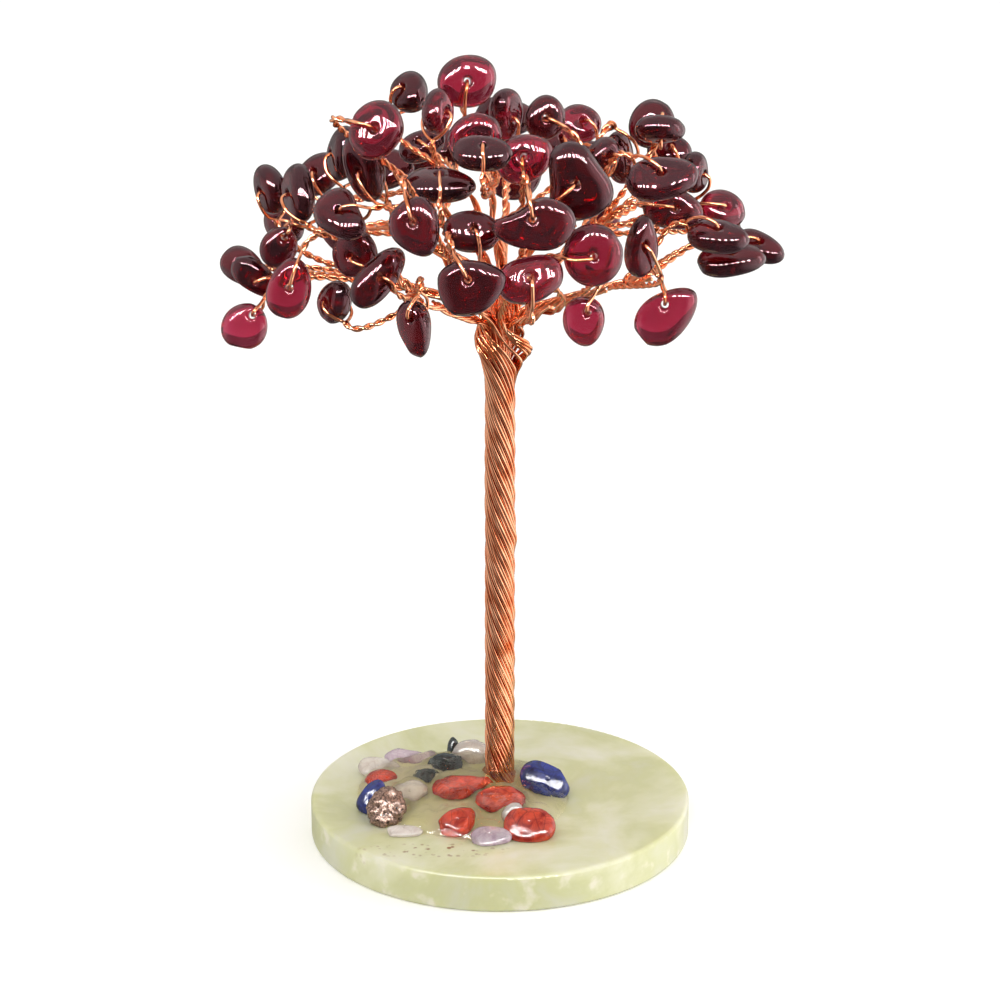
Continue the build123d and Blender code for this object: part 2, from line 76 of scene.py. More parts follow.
# Corners of tumbled chips, as shares of half the chip's length and half its breadth
outlineShares = {
    "round": ((1, 0.15), (0.5, 0.95), (-0.45, 1), (-1, 0.1), (-0.55, -0.95), (0.5, -1)),
    "egg": ((1, 0.3), (0.1, 0.98), (-0.85, 0.85), (-1, -0.45), (-0.2, -1), (0.85, -0.65)),
    "bean": ((1, 0.35), (0.4, 0.86), (-0.6, 1), (-1, 0), (-0.5, -1), (0.75, -0.9)),
    "drop": ((1, 0), (-0.2, 1), (-0.95, 0.55), (-1, -0.45), (-0.3, -1)),
    "wedge": ((1, -0.05), (0.1, 0.95), (-0.85, 0.8), (-1, -0.5), (0.1, -1)),
    "saddle": (
        (1, -0.05), (0.85, 0.62), (0.4, 1), (0.02, 1), (-0.3, 0.45), (-0.75, 0.28),
        (-1, -0.05), (-0.75, -0.6), (-0.1, -0.95), (0.6, -0.95),
    ),
    "pear": (
        (1, 0.1), (0.75, 0.5), (0.1, 0.62), (-0.5, 1), (-1, 0.5), (-1, -0.5), (-0.5, -1),
        (0.2, -0.75), (0.85, -0.5),
    ),
    "heart": (
        (1, 0), (0.5, 0.62), (-0.25, 1), (-0.9, 0.75), (-1, 0), (-0.8, -0.8), (-0.1, -1), (0.55, -0.6),
    ),
}

# Limbs: where each bundle ends, as shares of canopyReach to the right and ahead and of canopyRise
# above the trunk's top, the height of its bend as a share of canopyRise, and its place on the
# crown: the ring, and the direction in degrees counted from the right, seen from above
limbShares = {
    "far_right": (0.54, 0.14, 0.32, 0.16, "outer", -18),
    "right_low": (0.26, 0.38, 0.30, 0.12, "outer", -54),
    "front_right": (0.08, 0.46, 0.48, 0.14, "outer", -90),
    "front_left": (-0.17, 0.36, 0.42, 0.14, "outer", -126),
    "left_low": (-0.33, 0.38, 0.32, 0.12, "outer", -162),
    "far_left": (-0.44, 0.00, 0.27, 0.17, "outer", 162),
    "back_left": (-0.33, -0.36, 0.38, 0.14, "outer", 126),
    "back": (0.02, -0.44, 0.42, 0.14, "outer", 90),
    "back_right": (0.34, -0.34, 0.38, 0.14, "outer", 54),
    "right": (0.40, 0.02, 0.50, 0.22, "outer", 18),
    "top_right": (0.28, 0.10, 0.56, 0.30, "core", 0),
    "top": (-0.05, 0.10, 0.66, 0.36, "core", -72),
    "left": (-0.42, 0.08, 0.50, 0.28, "core", -144),
    "upper_left": (-0.33, -0.06, 0.60, 0.34, "core", 144),
    "top_left": (-0.20, 0.02, 0.66, 0.40, "core", 72),
}


# Names the values of each row. A dictionary at a row's end holds what sets that one apart
def namedRows(fields, table):
    named = {}
    for group, rows in table.items():
        named[group] = []
        for row in rows:
            chip = dict(zip(fields, row))
            for own in row[len(fields):]:
                chip.update(own)
            named[group].append(chip)
    return named


# Garnets, by limb. place: the bore's middle, as shares of canopyReach to the right and ahead and of
# canopyRise above the trunk's top. size: shares of length for the length and breadth and of
# thickness. face: turn to the right of the viewer, tilt up, in degrees. lean: direction of the long
# axis, neck: side on which the wires leave, both in degrees as the viewer sees them. drop: how far the
# chip's middle lies beyond its bore, away from the neck, as a share of length. hangs: turns freely.
# outline: the shape that shows. tone: from near black to bright magenta. opens: how far the loop stands
# out, and bends: how far the stem bends away from a neighbour that turns, in millimetres
garnets = namedRows(("name", "place", "size", "face", "lean", "neck", "kind"), {
    "top": [
        ("crest", (-0.117, 0.00, 0.94), (1.00, 0.90, 1.0), (5, 15), 10, -95, "round", {"tone": 0.85}),
        ("peak_right", (0.021, -0.10, 0.805), (0.96, 0.66, 0.9), (50, 0), -80, -95, "egg", {"tone": 0.5}),
        ("peak_back", (-0.036, -0.30, 0.748), (0.80, 0.58, 0.9), (40, 0), 80, -90, "egg"),
        ("peak_front", (-0.087, 0.30, 0.815), (0.94, 0.88, 0.9), (0, 10), 30, -60, "round", {"tone": 0.5}),
        ("peak_bar", (-0.058, 0.48, 0.812), (1.00, 0.66, 0.95), (0, 55), 0, -90, "egg"),
    ],
    "top_left": [
        ("ridge_far", (-0.323, -0.15, 0.872), (0.78, 0.70, 1.05), (-40, 35), -30, -110, "wedge",
         {"tone": 0.05}),
        ("ridge_near", (-0.218, 0.12, 0.868), (0.80, 0.66, 0.95), (55, 10), 75, -120, "egg", {"tone": 0.55}),
        ("ridge_back", (-0.283, -0.30, 0.655), (0.90, 0.58, 0.9), (-30, 40), 35, -20, "egg"),
    ],
    "upper_left": [
        ("brow", (-0.428, 0.30, 0.845), (1.03, 0.90, 1.0), (-10, 25), 60, 165, "round",
         {"tone": 0.5, "opens": 0.4}),
        ("brow_back", (-0.573, -0.25, 0.64), (1.03, 0.80, 1.0), (-70, 10), 80, -60, "egg"),
        ("brow_low", (-0.482, 0.00, 0.652), (1.25, 0.74, 1.05), (-30, -5), -75, -60, "egg", {"tone": 0.1}),
    ],
    "left": [
        ("shoulder_back", (-0.667, -0.42, 0.527), (0.92, 0.74, 0.95), (-30, 30), 40, -60, "round"),
        ("shoulder", (-0.714, 0.10, 0.588), (1.05, 0.76, 0.95), (-60, 10), -50, -40, "egg", {"opens": 0.4}),
        ("shoulder_front", (-0.55, 0.38, 0.582), (1.06, 0.78, 1.0), (-15, 40), -40, 20, "wedge",
         {"outline": "pear"}),
    ],
    "far_left": [
        ("tip_high", (-0.831, -0.12, 0.55), (0.88, 0.64, 0.95), (-50, 0), 120, -70, "egg"),
        ("tip_ring", (-0.771, 0.08, 0.435), (0.80, 0.68, 0.95), (10, 20), 50, 60, "round",
         {"drop": 0.2, "hangs": True, "tone": 0.3, "opens": 1.7}),
        ("tip_back", (-0.935, -0.12, 0.285), (0.88, 0.64, 0.9), (-20, 30), -20, 0, "egg"),
        ("tip_slim", (-0.875, 0.06, 0.295), (0.94, 0.55, 0.8), (-10, -10), -35, 20, "egg"),
        ("tip_face", (-0.74, 0.28, 0.325), (1.14, 0.80, 0.95), (0, 5), 80, 70, "egg",
         {"drop": 0.04, "hangs": True, "tone": 0.55}),
        ("tip_low", (-0.883, 0.15, 0.188), (0.88, 0.84, 0.9), (0, 20), 30, 55, "round",
         {"drop": 0.25, "hangs": True, "tone": 0.8}),
    ],
    "left_low": [
        ("flank_low", (-0.585, 0.24, 0.262), (0.80, 0.64, 0.95), (-50, 10), 60, -40, "egg", {"tone": 0.45}),
        ("flank_high", (-0.509, 0.30, 0.438), (0.92, 0.86, 0.95), (-25, 0), 60, -20, "round",
         {"hangs": True}),
        ("flank_slant", (-0.421, 0.52, 0.419), (1.20, 0.62, 0.95), (20, 15), 45, -45, "egg"),
        ("flank_drop", (-0.286, 0.66, 0.328), (1.05, 0.64, 0.95), (-30, 0), -75, 80, "egg",
         {"drop": 0.24, "hangs": True}),
    ],
    "front_left": [
        ("brow_heart", (-0.290, 0.66, 0.636), (1.05, 0.90, 0.95), (-10, 15), -60, 110, "wedge",
         {"drop": 0.12, "hangs": True, "outline": "heart", "tone": 0.45}),
        ("brow_bar", (-0.207, 0.38, 0.684), (1.20, 0.78, 1.0), (0, 75), 0, -90, "egg"),
        ("fore_dark", (-0.095, 0.58, 0.583), (0.97, 0.72, 0.95), (10, 30), 0, -80, "wedge", {"tone": 0.05}),
        ("fore_face", (-0.105, 0.84, 0.498), (1.22, 1.00, 1.0), (-5, 15), 20, 120, "egg",
         {"drop": 0.14, "hangs": True, "outline": "heart", "bends": (1.8, -0.5, -0.7)}),
    ],
    "front_right": [
        ("crown_face", (0.086, 0.35, 0.768), (1.00, 0.80, 1.0), (-10, 20), 30, -80, "egg", {"tone": 0.8}),
        ("fore_bean", (0.11, 0.72, 0.662), (1.48, 0.95, 1.1), (0, 10), 0, 100, "bean",
         {"drop": 0.1, "hangs": True, "outline": "saddle", "tone": 0.35}),
        ("fore_tilt", (0.103, 0.75, 0.472), (1.14, 0.78, 1.0), (5, 25), 20, -90, "bean", {"tone": 0.6}),
    ],
    "top_right": [
        ("knob", (0.158, 0.10, 0.84), (0.78, 0.72, 0.9), (10, 15), 60, -30, "round"),
        ("knob_back", (0.289, -0.25, 0.742), (0.80, 0.68, 0.9), (20, 30), -10, -60, "round",
         {"tone": 0.6, "opens": 0.7}),
        ("nub", (0.362, 0.10, 0.718), (0.66, 0.54, 0.95), (30, 10), 60, -100, "egg", {"opens": 0.9}),
        ("nub_back", (0.429, -0.10, 0.66), (1.00, 0.60, 0.9), (60, 0), -65, 110, "egg", {"opens": 0.6}),
        ("great_wedge", (0.259, 0.50, 0.728), (1.34, 1.10, 1.15), (0, 5), 110, -140, "wedge",
         {"outline": "pear", "tone": 0.1}),
    ],
    "right": [
        ("lookout_back", (0.55, -0.25, 0.742), (0.88, 0.80, 0.9), (-10, 25), 60, -80, "round"),
        ("lookout", (0.571, 0.00, 0.782), (0.88, 0.64, 0.95), (0, -60), 0, -90, "egg"),
        ("ledge", (0.564, 0.30, 0.688), (1.25, 0.80, 0.95), (0, 45), 15, 140, "egg", {"tone": 0.45}),
        ("ledge_back", (0.70, -0.10, 0.612), (0.72, 0.58, 0.9), (60, 0), 90, -90, "egg"),
        ("ledge_low", (0.618, 0.02, 0.517), (1.08, 0.74, 1.0), (10, 20), -10, 170, "egg", {"tone": 0.45}),
        ("ledge_deep", (0.62, -0.35, 0.625), (0.80, 0.64, 0.9), (0, 40), 0, -60, "egg", {"opens": 0.6}),
    ],
    "far_right": [
        ("wing_back", (0.804, -0.10, 0.484), (0.84, 0.72, 0.9), (20, 30), -30, 165, "round", {"tone": 0.5}),
        ("wing_high", (0.77, 0.22, 0.474), (1.06, 0.66, 0.95), (0, 60), -5, 150, "egg", {"tone": 0.35}),
        ("wing_low", (0.825, 0.12, 0.368), (1.20, 0.66, 0.95), (0, 60), 10, 110, "egg", {"tone": 0.2}),
        ("wing_tip", (0.944, -0.15, 0.342), (0.94, 0.56, 0.85), (0, 50), -25, 170, "egg"),
        ("spear", (0.482, 0.45, 0.515), (1.14, 0.64, 0.9), (30, 0), 85, -60, "drop",
         {"drop": -0.1, "hangs": True, "tone": 0.2, "bends": (-0.3, 0.0, 2.0)}),
        ("pendant", (0.579, 0.35, 0.282), (1.30, 0.88, 1.0), (-5, 15), 40, 100, "drop",
         {"drop": 0.2, "hangs": True, "tone": 0.7}),
    ],
    "right_low": [
        ("disc", (0.316, 0.65, 0.525), (1.06, 1.00, 0.95), (5, 5), 90, 180, "round", {"tone": 0.5}),
        ("heart", (0.305, 0.62, 0.337), (0.90, 0.76, 0.95), (-10, 5), -75, 70, "wedge",
         {"drop": 0.22, "hangs": True, "tone": 0.75}),
    ],
    "back_left": [
        ("rear_a", (-0.42, -0.62, 0.50), (1.02, 0.80, 1.0), (-20, 40), 20, -40, "egg"),
        ("rear_b", (-0.30, -0.76, 0.46), (1.00, 0.84, 0.95), (10, -30), 60, -70, "round"),
        ("rear_c", (-0.80, -0.42, 0.36), (0.94, 0.72, 0.95), (-40, 20), -20, 0, "egg"),
        ("rear_d", (-0.16, -0.52, 0.60), (0.92, 0.74, 0.95), (0, 50), 10, -90, "wedge"),
        ("rear_e", (-0.62, -0.72, 0.26), (1.06, 0.70, 0.9), (-20, 0), -60, 60, "egg", {"hangs": True}),
    ],
    "back_right": [
        ("rear_f", (0.34, -0.72, 0.50), (0.96, 0.80, 1.0), (10, 40), -20, -120, "round"),
        ("rear_g", (0.60, -0.58, 0.46), (1.08, 0.76, 0.95), (30, 20), 30, -150, "egg"),
        ("rear_h", (0.82, -0.45, 0.32), (0.90, 0.72, 0.9), (40, 10), 0, 170, "egg"),
        ("rear_i", (0.40, -0.90, 0.24), (1.00, 0.68, 0.9), (15, 0), -80, 95, "drop", {"hangs": True}),
    ],
    "back": [
        ("rear_j", (0.02, -0.70, 0.66), (1.10, 0.80, 1.0), (0, 60), 0, -90, "bean"),
        ("rear_k", (0.06, -0.92, 0.40), (1.00, 0.86, 0.95), (0, 10), 20, 90, "round"),
        ("rear_l", (0.22, -0.50, 0.62), (0.86, 0.70, 0.9), (20, 45), 20, -100, "egg"),
    ],
})

# Stones cast into the resin. place: shares of half the base's diameter to the right and ahead, and of
# the resin's height above the base's top. size: shares of the stone length twice and of the stone thickness
stones = namedRows(("place", "size", "face", "lean", "kind"), {
    "red_jasper_chips": [
        ((-0.200, 0.09, 0.85), (1.26, 0.66, 0.95), (0, 58), 12, "egg"),
        ((0.005, 0.24, 0.90), (1.06, 0.80, 1.0), (0, 55), 12, "wedge"),
        ((-0.222, 0.46, 0.65), (0.90, 0.72, 0.9), (0, 52), 50, "wedge"),
        ((0.150, 0.51, 0.72), (1.12, 0.92, 1.0), (0, 55), 6, "bean"),
        ((-0.634, -0.10, 0.50), (0.62, 0.42, 0.6), (0, 70), 0, "egg"),
    ],
    "lapis_chips": [
        ((0.243, 0.02, 1.02), (1.16, 0.90, 1.15), (10, 40), -22, "wedge"),
        ((-0.668, 0.21, 0.85), (0.95, 0.62, 0.9), (-20, 30), 80, "egg"),
    ],
    "pyrite_chip": [
        ((-0.590, 0.33, 0.85), (0.98, 0.84, 1.2), (10, 40), 60, "round"),
    ],
    "quartz_chips": [
        ((-0.145, -0.34, 0.85), (0.92, 0.76, 1.0), (0, 30), 30, "wedge"),
        ((-0.655, -0.26, 0.50), (0.95, 0.56, 0.7), (0, 60), -12, "wedge"),
        ((-0.469, 0.12, 0.60), (0.68, 0.62, 0.8), (0, 50), 40, "round"),
        ((-0.500, 0.49, 0.32), (0.80, 0.44, 0.5), (0, 80), 0, "egg"),
        ((0.067, 0.42, 1.02), (0.56, 0.46, 0.9), (0, 30), 70, "egg"),
    ],
    "amethyst_chips": [
        ((-0.490, -0.38, 0.42), (1.20, 0.56, 0.7), (0, 66), -10, "egg"),
        ((-0.050, 0.58, 0.42), (0.90, 0.60, 0.7), (0, 66), 10, "egg"),
    ],
    "tourmaline_shards": [
        ((-0.289, -0.21, 0.85), (0.82, 0.66, 0.8), (20, 30), 30, "wedge"),
        ((-0.248, -0.37, 1.15), (0.50, 0.28, 0.6), (30, 10), 85, "drop"),
        ((-0.388, -0.06, 0.55), (0.52, 0.32, 0.5), (20, 40), -45, "drop"),
    ],
})


# Adds one node with its settings, the values or links of its inputs, by name or in their order, and, on a
# ramp, its colour stops. A map range takes a value and a span: where the value starts and is full and,
# where it gives something else than 0 to 1, what it gives there
def addNode(tree, kind, settings=None, inputs=(), stops=()):
    node = tree.nodes.new(kind)
    for name, value in (settings or {}).items():
        setattr(node, name, value)
    for key, value in inputs.items() if isinstance(inputs, dict) else enumerate(inputs):
        if isinstance(value, bpy.types.NodeSocket):
            tree.links.new(value, node.inputs[key])
        else:
            node.inputs[key].default_value = value
    for number, (place, colour) in enumerate(stops):
        elements = node.color_ramp.elements
        stop = elements[number] if number < 2 else elements.new(place)
        stop.position, stop.color = place, colour
    return node


def linearColour(hexCode):
    shares = [int(hexCode[start:start + 2], 16) / 255 for start in (1, 3, 5)]
    return tuple(c / 12.92 if c <= 0.04045 else ((c + 0.055) / 1.055) ** 2.4 for c in shares) + (1.0,)


def newMaterial(name):
    material = bpy.data.materials.new(name)
    material.use_nodes = True
    material.node_tree.nodes.clear()
    return material, material.node_tree


# Garnet, tumbled in a barrel: wine-red stone with a wet-looking polish, near black where it is thick,
# magenta where light comes through, with a mauve sheen on the sides that look up
garnetLook = {
    "pale": "#e898ac",
    "deep": "#86202f",
    "sheen": "#ff9fb2",
    "absorbColour": (0.78, 0.05, 0.33, 1.0),
    "clearDensity": 1150.0,
    "darkDensity": 2500.0,
    "transmission": 0.96,
    "ior": 1.5,
    "wetness": 0.5,
    "cloudSize": 2.6,
    "polishSize": 0.7,
    "polishSpan": (0.3, 0.8, 0.03, 0.07),
    "toneSpan": (0.25, 1.2),
    "cloudShare": 0.6,
    "waveSize": 2.0,
    "waveDepth": 0.04,
}


def garnetMaterial(name, density):
    material, tree = newMaterial(name)
    place = addNode(tree, "ShaderNodeTexCoord").outputs["Object"]
    tone = addNode(tree, "ShaderNodeAttribute", {"attribute_name": "tone"}).outputs["Fac"]
    cloud = addNode(tree, "ShaderNodeTexNoise", inputs={
        "Vector": place, "Scale": 1 / (garnetLook["cloudSize"] * mm),
        "Detail": 4.0, "Roughness": 0.6, "Distortion": 0.4,
    }).outputs["Fac"]
    lightness = addNode(
        tree, "ShaderNodeMath", {"operation": "MULTIPLY_ADD"}, (cloud, garnetLook["cloudShare"], tone),
    ).outputs[0]
    share = addNode(
        tree, "ShaderNodeMapRange", inputs=(lightness, *garnetLook["toneSpan"]),
    ).outputs["Result"]
    colour = addNode(tree, "ShaderNodeMix", {"data_type": "RGBA"}, {
        0: share, 6: linearColour(garnetLook["deep"]), 7: linearColour(garnetLook["pale"]),
    }).outputs[2]
    polish = addNode(tree, "ShaderNodeTexNoise", inputs={
        "Vector": place, "Scale": 1 / (garnetLook["polishSize"] * mm), "Detail": 2.0,
    }).outputs["Fac"]
    roughness = addNode(
        tree, "ShaderNodeMapRange", inputs=(polish, *garnetLook["polishSpan"]),
    ).outputs["Result"]
    waves = addNode(tree, "ShaderNodeTexNoise", inputs={
        "Vector": place, "Scale": 1 / (garnetLook["waveSize"] * mm), "Detail": 1.0,
    }).outputs["Fac"]
    relief = addNode(tree, "ShaderNodeBump", inputs={
        "Height": waves, "Distance": garnetLook["waveDepth"] * mm, "Strength": 0.3,
    }).outputs["Normal"]
    surface = addNode(tree, "ShaderNodeBsdfPrincipled", inputs={
        "Base Color": colour,
        "Roughness": roughness,
        "IOR": garnetLook["ior"],
        "Specular Tint": linearColour(garnetLook["sheen"]),
        "Transmission Weight": garnetLook["transmission"],
        "Coat Weight": garnetLook["wetness"],
        "Coat Roughness": 0.01,
        "Coat IOR": 1.5,
        "Normal": relief,
    }).outputs[0]
    volume = addNode(tree, "ShaderNodeVolumeAbsorption", inputs={
        "Color": garnetLook["absorbColour"], "Density": density,
    }).outputs[0]
    addNode(tree, "ShaderNodeOutputMaterial", inputs={"Surface": surface, "Volume": volume})
    return material


# Bare copper craft wire, drawn through a die and lacquered: pink-orange glints with red-brown recesses,
# a fine unevenness left by the draw and duller patches where fingers and pliers went. Draw marks are some
# 0.02 mm wide, too fine to show, and stand at drawSize here
copperLook = {
    "bright": "#f9b28a", "worn": "#cf6b39", "patchSize": 3.0, "drawSize": 0.25, "drawDepth": 0.002,
    "wornSpan": (0.4, 0.75), "shineSpan": (0.3, 0.7, 0.07, 0.14),
}


def copperMaterial():
    material, tree = newMaterial("drawnCopperWire")
    place = addNode(tree, "ShaderNodeTexCoord").outputs["Object"]
    patches = addNode(tree, "ShaderNodeTexNoise", inputs={
        "Vector": place, "Scale": 1 / (copperLook["patchSize"] * mm), "Detail": 4.0,
    }).outputs["Fac"]
    share = addNode(tree, "ShaderNodeMapRange", inputs=(patches, *copperLook["wornSpan"])).outputs["Result"]
    fine = addNode(tree, "ShaderNodeTexNoise", inputs={
        "Vector": place, "Scale": 1 / (copperLook["drawSize"] * mm), "Detail": 2.0,
    }).outputs["Fac"]
    surface = addNode(tree, "ShaderNodeBsdfPrincipled", inputs={
        "Base Color": addNode(tree, "ShaderNodeMix", {"data_type": "RGBA"}, {
            0: share, 6: linearColour(copperLook["bright"]), 7: linearColour(copperLook["worn"]),
        }).outputs[2],
        "Metallic": 1.0,
        "Roughness": addNode(
            tree, "ShaderNodeMapRange", inputs=(fine, *copperLook["shineSpan"]),
        ).outputs["Result"],
        "Normal": addNode(tree, "ShaderNodeBump", inputs={
            "Height": fine, "Distance": copperLook["drawDepth"] * mm, "Strength": 0.3,
        }).outputs["Normal"],
    }).outputs[0]
    addNode(tree, "ShaderNodeOutputMaterial", inputs={"Surface": surface})
    return material


# Serpentine sold as new jade, sawn, turned and polished: cloudy yellow-green, a little translucent,
# with paler worn patches round the rim and a band of rust-brown specks in front
baseLook = {
    "greyGreen": "#d2d2b8", "green": "#cdce9e", "middle": "#d9d9b4", "pale": "#e3e2cc", "worn": "#efe9dc",
    "speck": "#8a5a34", "cloudSize": 17.0, "mottleSize": 3.2, "speckSize": 0.8, "clumpSize": 2.2,
    "speckAt": (-8.5, -17.2), "speckReach": (10.5, 5.0), "speckSquash": 4.4, "rim": (4.9, 4.3),
    "mottleShare": 0.22, "wornSpan": (0.55, 0.66, 0.0, 0.6), "dotSpan": (0.44, 0.28),
    "clumpSpan": (0.46, 0.54), "shineSpan": (0.3, 0.7, 0.28, 0.34), "glowDepth": 3.0,
}


def baseMaterial():
    material, tree = newMaterial("polishedSerpentine")
    place = addNode(tree, "ShaderNodeTexCoord").outputs["Object"]
    cloud = addNode(tree, "ShaderNodeTexNoise", inputs={
        "Vector": place, "Scale": 1 / (baseLook["cloudSize"] * mm),
        "Detail": 5.0, "Roughness": 0.55, "Distortion": 0.9,
    }).outputs["Fac"]
    mottle = addNode(tree, "ShaderNodeTexNoise", inputs={
        "Vector": place, "Scale": 1 / (baseLook["mottleSize"] * mm), "Detail": 3.0, "Roughness": 0.5,
    }).outputs["Fac"]
    both = addNode(
        tree, "ShaderNodeMath", {"operation": "MULTIPLY_ADD"}, (mottle, baseLook["mottleShare"], cloud),
    ).outputs[0]
    stone = addNode(tree, "ShaderNodeValToRGB", inputs={"Fac": both}, stops=[
        (0.42, linearColour(baseLook["greyGreen"])), (0.78, linearColour(baseLook["pale"])),
        (0.54, linearColour(baseLook["green"])), (0.64, linearColour(baseLook["middle"])),
    ]).outputs["Color"]
    worn = addNode(tree, "ShaderNodeMapRange", inputs=(mottle, *baseLook["wornSpan"])).outputs["Result"]
    parts = addNode(tree, "ShaderNodeSeparateXYZ", inputs={0: place})
    rim = addNode(
        tree, "ShaderNodeMapRange", inputs=(parts.outputs["Z"], *(level * mm for level in baseLook["rim"])),
    ).outputs["Result"]
    wornRim = addNode(tree, "ShaderNodeMath", {"operation": "MULTIPLY"}, (worn, rim)).outputs[0]
    weathered = addNode(tree, "ShaderNodeMix", {"data_type": "RGBA"}, {
        0: wornRim, 6: stone, 7: linearColour(baseLook["worn"]),
    }).outputs[2]
    grit = addNode(tree, "ShaderNodeTexVoronoi", {"feature": "F1"}, {
        "Vector": place, "Scale": 1 / (baseLook["speckSize"] * mm), "Randomness": 1.0,
    })
    dots = addNode(
        tree, "ShaderNodeMapRange", inputs=(grit.outputs["Distance"], *baseLook["dotSpan"]),
    ).outputs["Result"]
    band = addNode(tree, "ShaderNodeVectorMath", {"operation": "SUBTRACT"}, {
        0: place, 1: [value * mm for value in (*baseLook["speckAt"], treeSizes["baseThickness"])],
    }).outputs[0]
    stretched = addNode(tree, "ShaderNodeVectorMath", {"operation": "MULTIPLY"}, {
        0: band, 1: (1.0, baseLook["speckSquash"], 1.0),
    }).outputs[0]
    away = addNode(tree, "ShaderNodeVectorMath", {"operation": "LENGTH"}, {0: stretched}).outputs["Value"]
    near = addNode(
        tree, "ShaderNodeMapRange", inputs=(away, *(reach * mm for reach in baseLook["speckReach"])),
    ).outputs["Result"]
    patchy = addNode(tree, "ShaderNodeTexNoise", inputs={
        "Vector": place, "Scale": 1 / (baseLook["clumpSize"] * mm), "Detail": 2.0,
    }).outputs["Fac"]
    clumps = addNode(tree, "ShaderNodeMapRange", inputs=(patchy, *baseLook["clumpSpan"])).outputs["Result"]
    scattered = addNode(tree, "ShaderNodeMath", {"operation": "MULTIPLY"}, (near, clumps)).outputs[0]
    specks = addNode(tree, "ShaderNodeMath", {"operation": "MULTIPLY"}, (scattered, dots)).outputs[0]
    colour = addNode(tree, "ShaderNodeMix", {"data_type": "RGBA"}, {
        0: specks, 6: weathered, 7: linearColour(baseLook["speck"]),
    }).outputs[2]
    surface = addNode(tree, "ShaderNodeBsdfPrincipled", inputs={
        "Base Color": colour,
        "Roughness": addNode(
            tree, "ShaderNodeMapRange", inputs=(mottle, *baseLook["shineSpan"]),
        ).outputs["Result"],
        "IOR": 1.56,
        "Subsurface Weight": 0.5,
        "Subsurface Radius": (1.0, 1.0, 0.55),
        "Subsurface Scale": baseLook["glowDepth"] * mm,
        "Normal": addNode(tree, "ShaderNodeBump", inputs={
            "Height": cloud, "Distance": 0.01 * mm, "Strength": 0.2,
        }).outputs["Normal"],
    }).outputs[0]
    addNode(tree, "ShaderNodeOutputMaterial", inputs={"Surface": surface})
    return material


# Clear casting resin, mixed and poured by hand: glassy and wet-looking, with a trace of yellow-brown that
# darkens where the pour is thick, and slow swirls left by the pour
resinLook = {
    "tint": "#faf5ea", "absorbColour": (0.90, 0.88, 0.85, 1.0), "absorbDensity": 800.0,
    "swirlSize": 1.8, "swirlDepth": 0.3, "ior": 1.42,
}


def resinMaterial():
    material, tree = newMaterial("clearCastingResin")
    place = addNode(tree, "ShaderNodeTexCoord").outputs["Object"]
    swirl = addNode(tree, "ShaderNodeTexNoise", inputs={
        "Vector": place, "Scale": 1 / (resinLook["swirlSize"] * mm), "Detail": 3.0, "Distortion": 0.8,
    }).outputs["Fac"]
    surface = addNode(tree, "ShaderNodeBsdfPrincipled", inputs={
        "Base Color": linearColour(resinLook["tint"]),
        "Roughness": 0.03,
        "IOR": resinLook["ior"],
        "Transmission Weight": 1.0,
        "Normal": addNode(tree, "ShaderNodeBump", inputs={
            "Height": swirl, "Distance": resinLook["swirlDepth"] * mm, "Strength": 0.7,
        }).outputs["Normal"],
    }).outputs[0]
    volume = addNode(tree, "ShaderNodeVolumeAbsorption", inputs={
        "Color": resinLook["absorbColour"], "Density": resinLook["absorbDensity"],
    }).outputs[0]
    addNode(tree, "ShaderNodeOutputMaterial", inputs={"Surface": surface, "Volume": volume})
    return material


# Stone chips, tumbled and polished, some wetted by the resin: two colours in clouds with dark hairline
# veins. Bronzite's pale flakes of about cloud millimetres are partly its own colour and partly painted
# glints, quartz and amethyst let half the light in
stoneFields = ("name", "light", "dark", "vein", "cloud", "rough")
stonePattern = {
    "cloudSpan": (0.36, 0.62), "veinSize": 2.1, "veinSpan": (0.03, 0.0, 0.0, 0.6), "depth": 0.10,
    "duller": 0.1,
}
stoneLooks = namedRows(stoneFields, {
    "red_jasper_chips": [("polishedRedJasper", "#cf4326", "#8e1a10", "#3c0d0a", 1.4, 0.10)],
    "lapis_chips": [("polishedLapis", "#20328c", "#0d1446", "#0a0f30", 1.6, 0.10)],
    # bronzite: the pale flakes are partly its own colour and partly painted glints; metal 0.35 adds some
    # real shine
    "pyrite_chip": [("glitteringBronzite", "#b48f7c", "#150e0c", "#0c0808", 0.3, 0.16, {"metal": 0.35})],
    "quartz_chips": [("tumbledQuartz", "#fbf5f0", "#e6dbd2", "#dccfc6", 1.5, 0.08, {"clear": 0.5})],
    "amethyst_chips": [("tumbledAmethyst", "#efe2ea", "#c9b0c2", "#c0a8bc", 1.5, 0.08, {"clear": 0.5})],
    "tourmaline_shards": [("blackTourmaline", "#3b4748", "#0f1314", "#050606", 1.0, 0.1)],
})


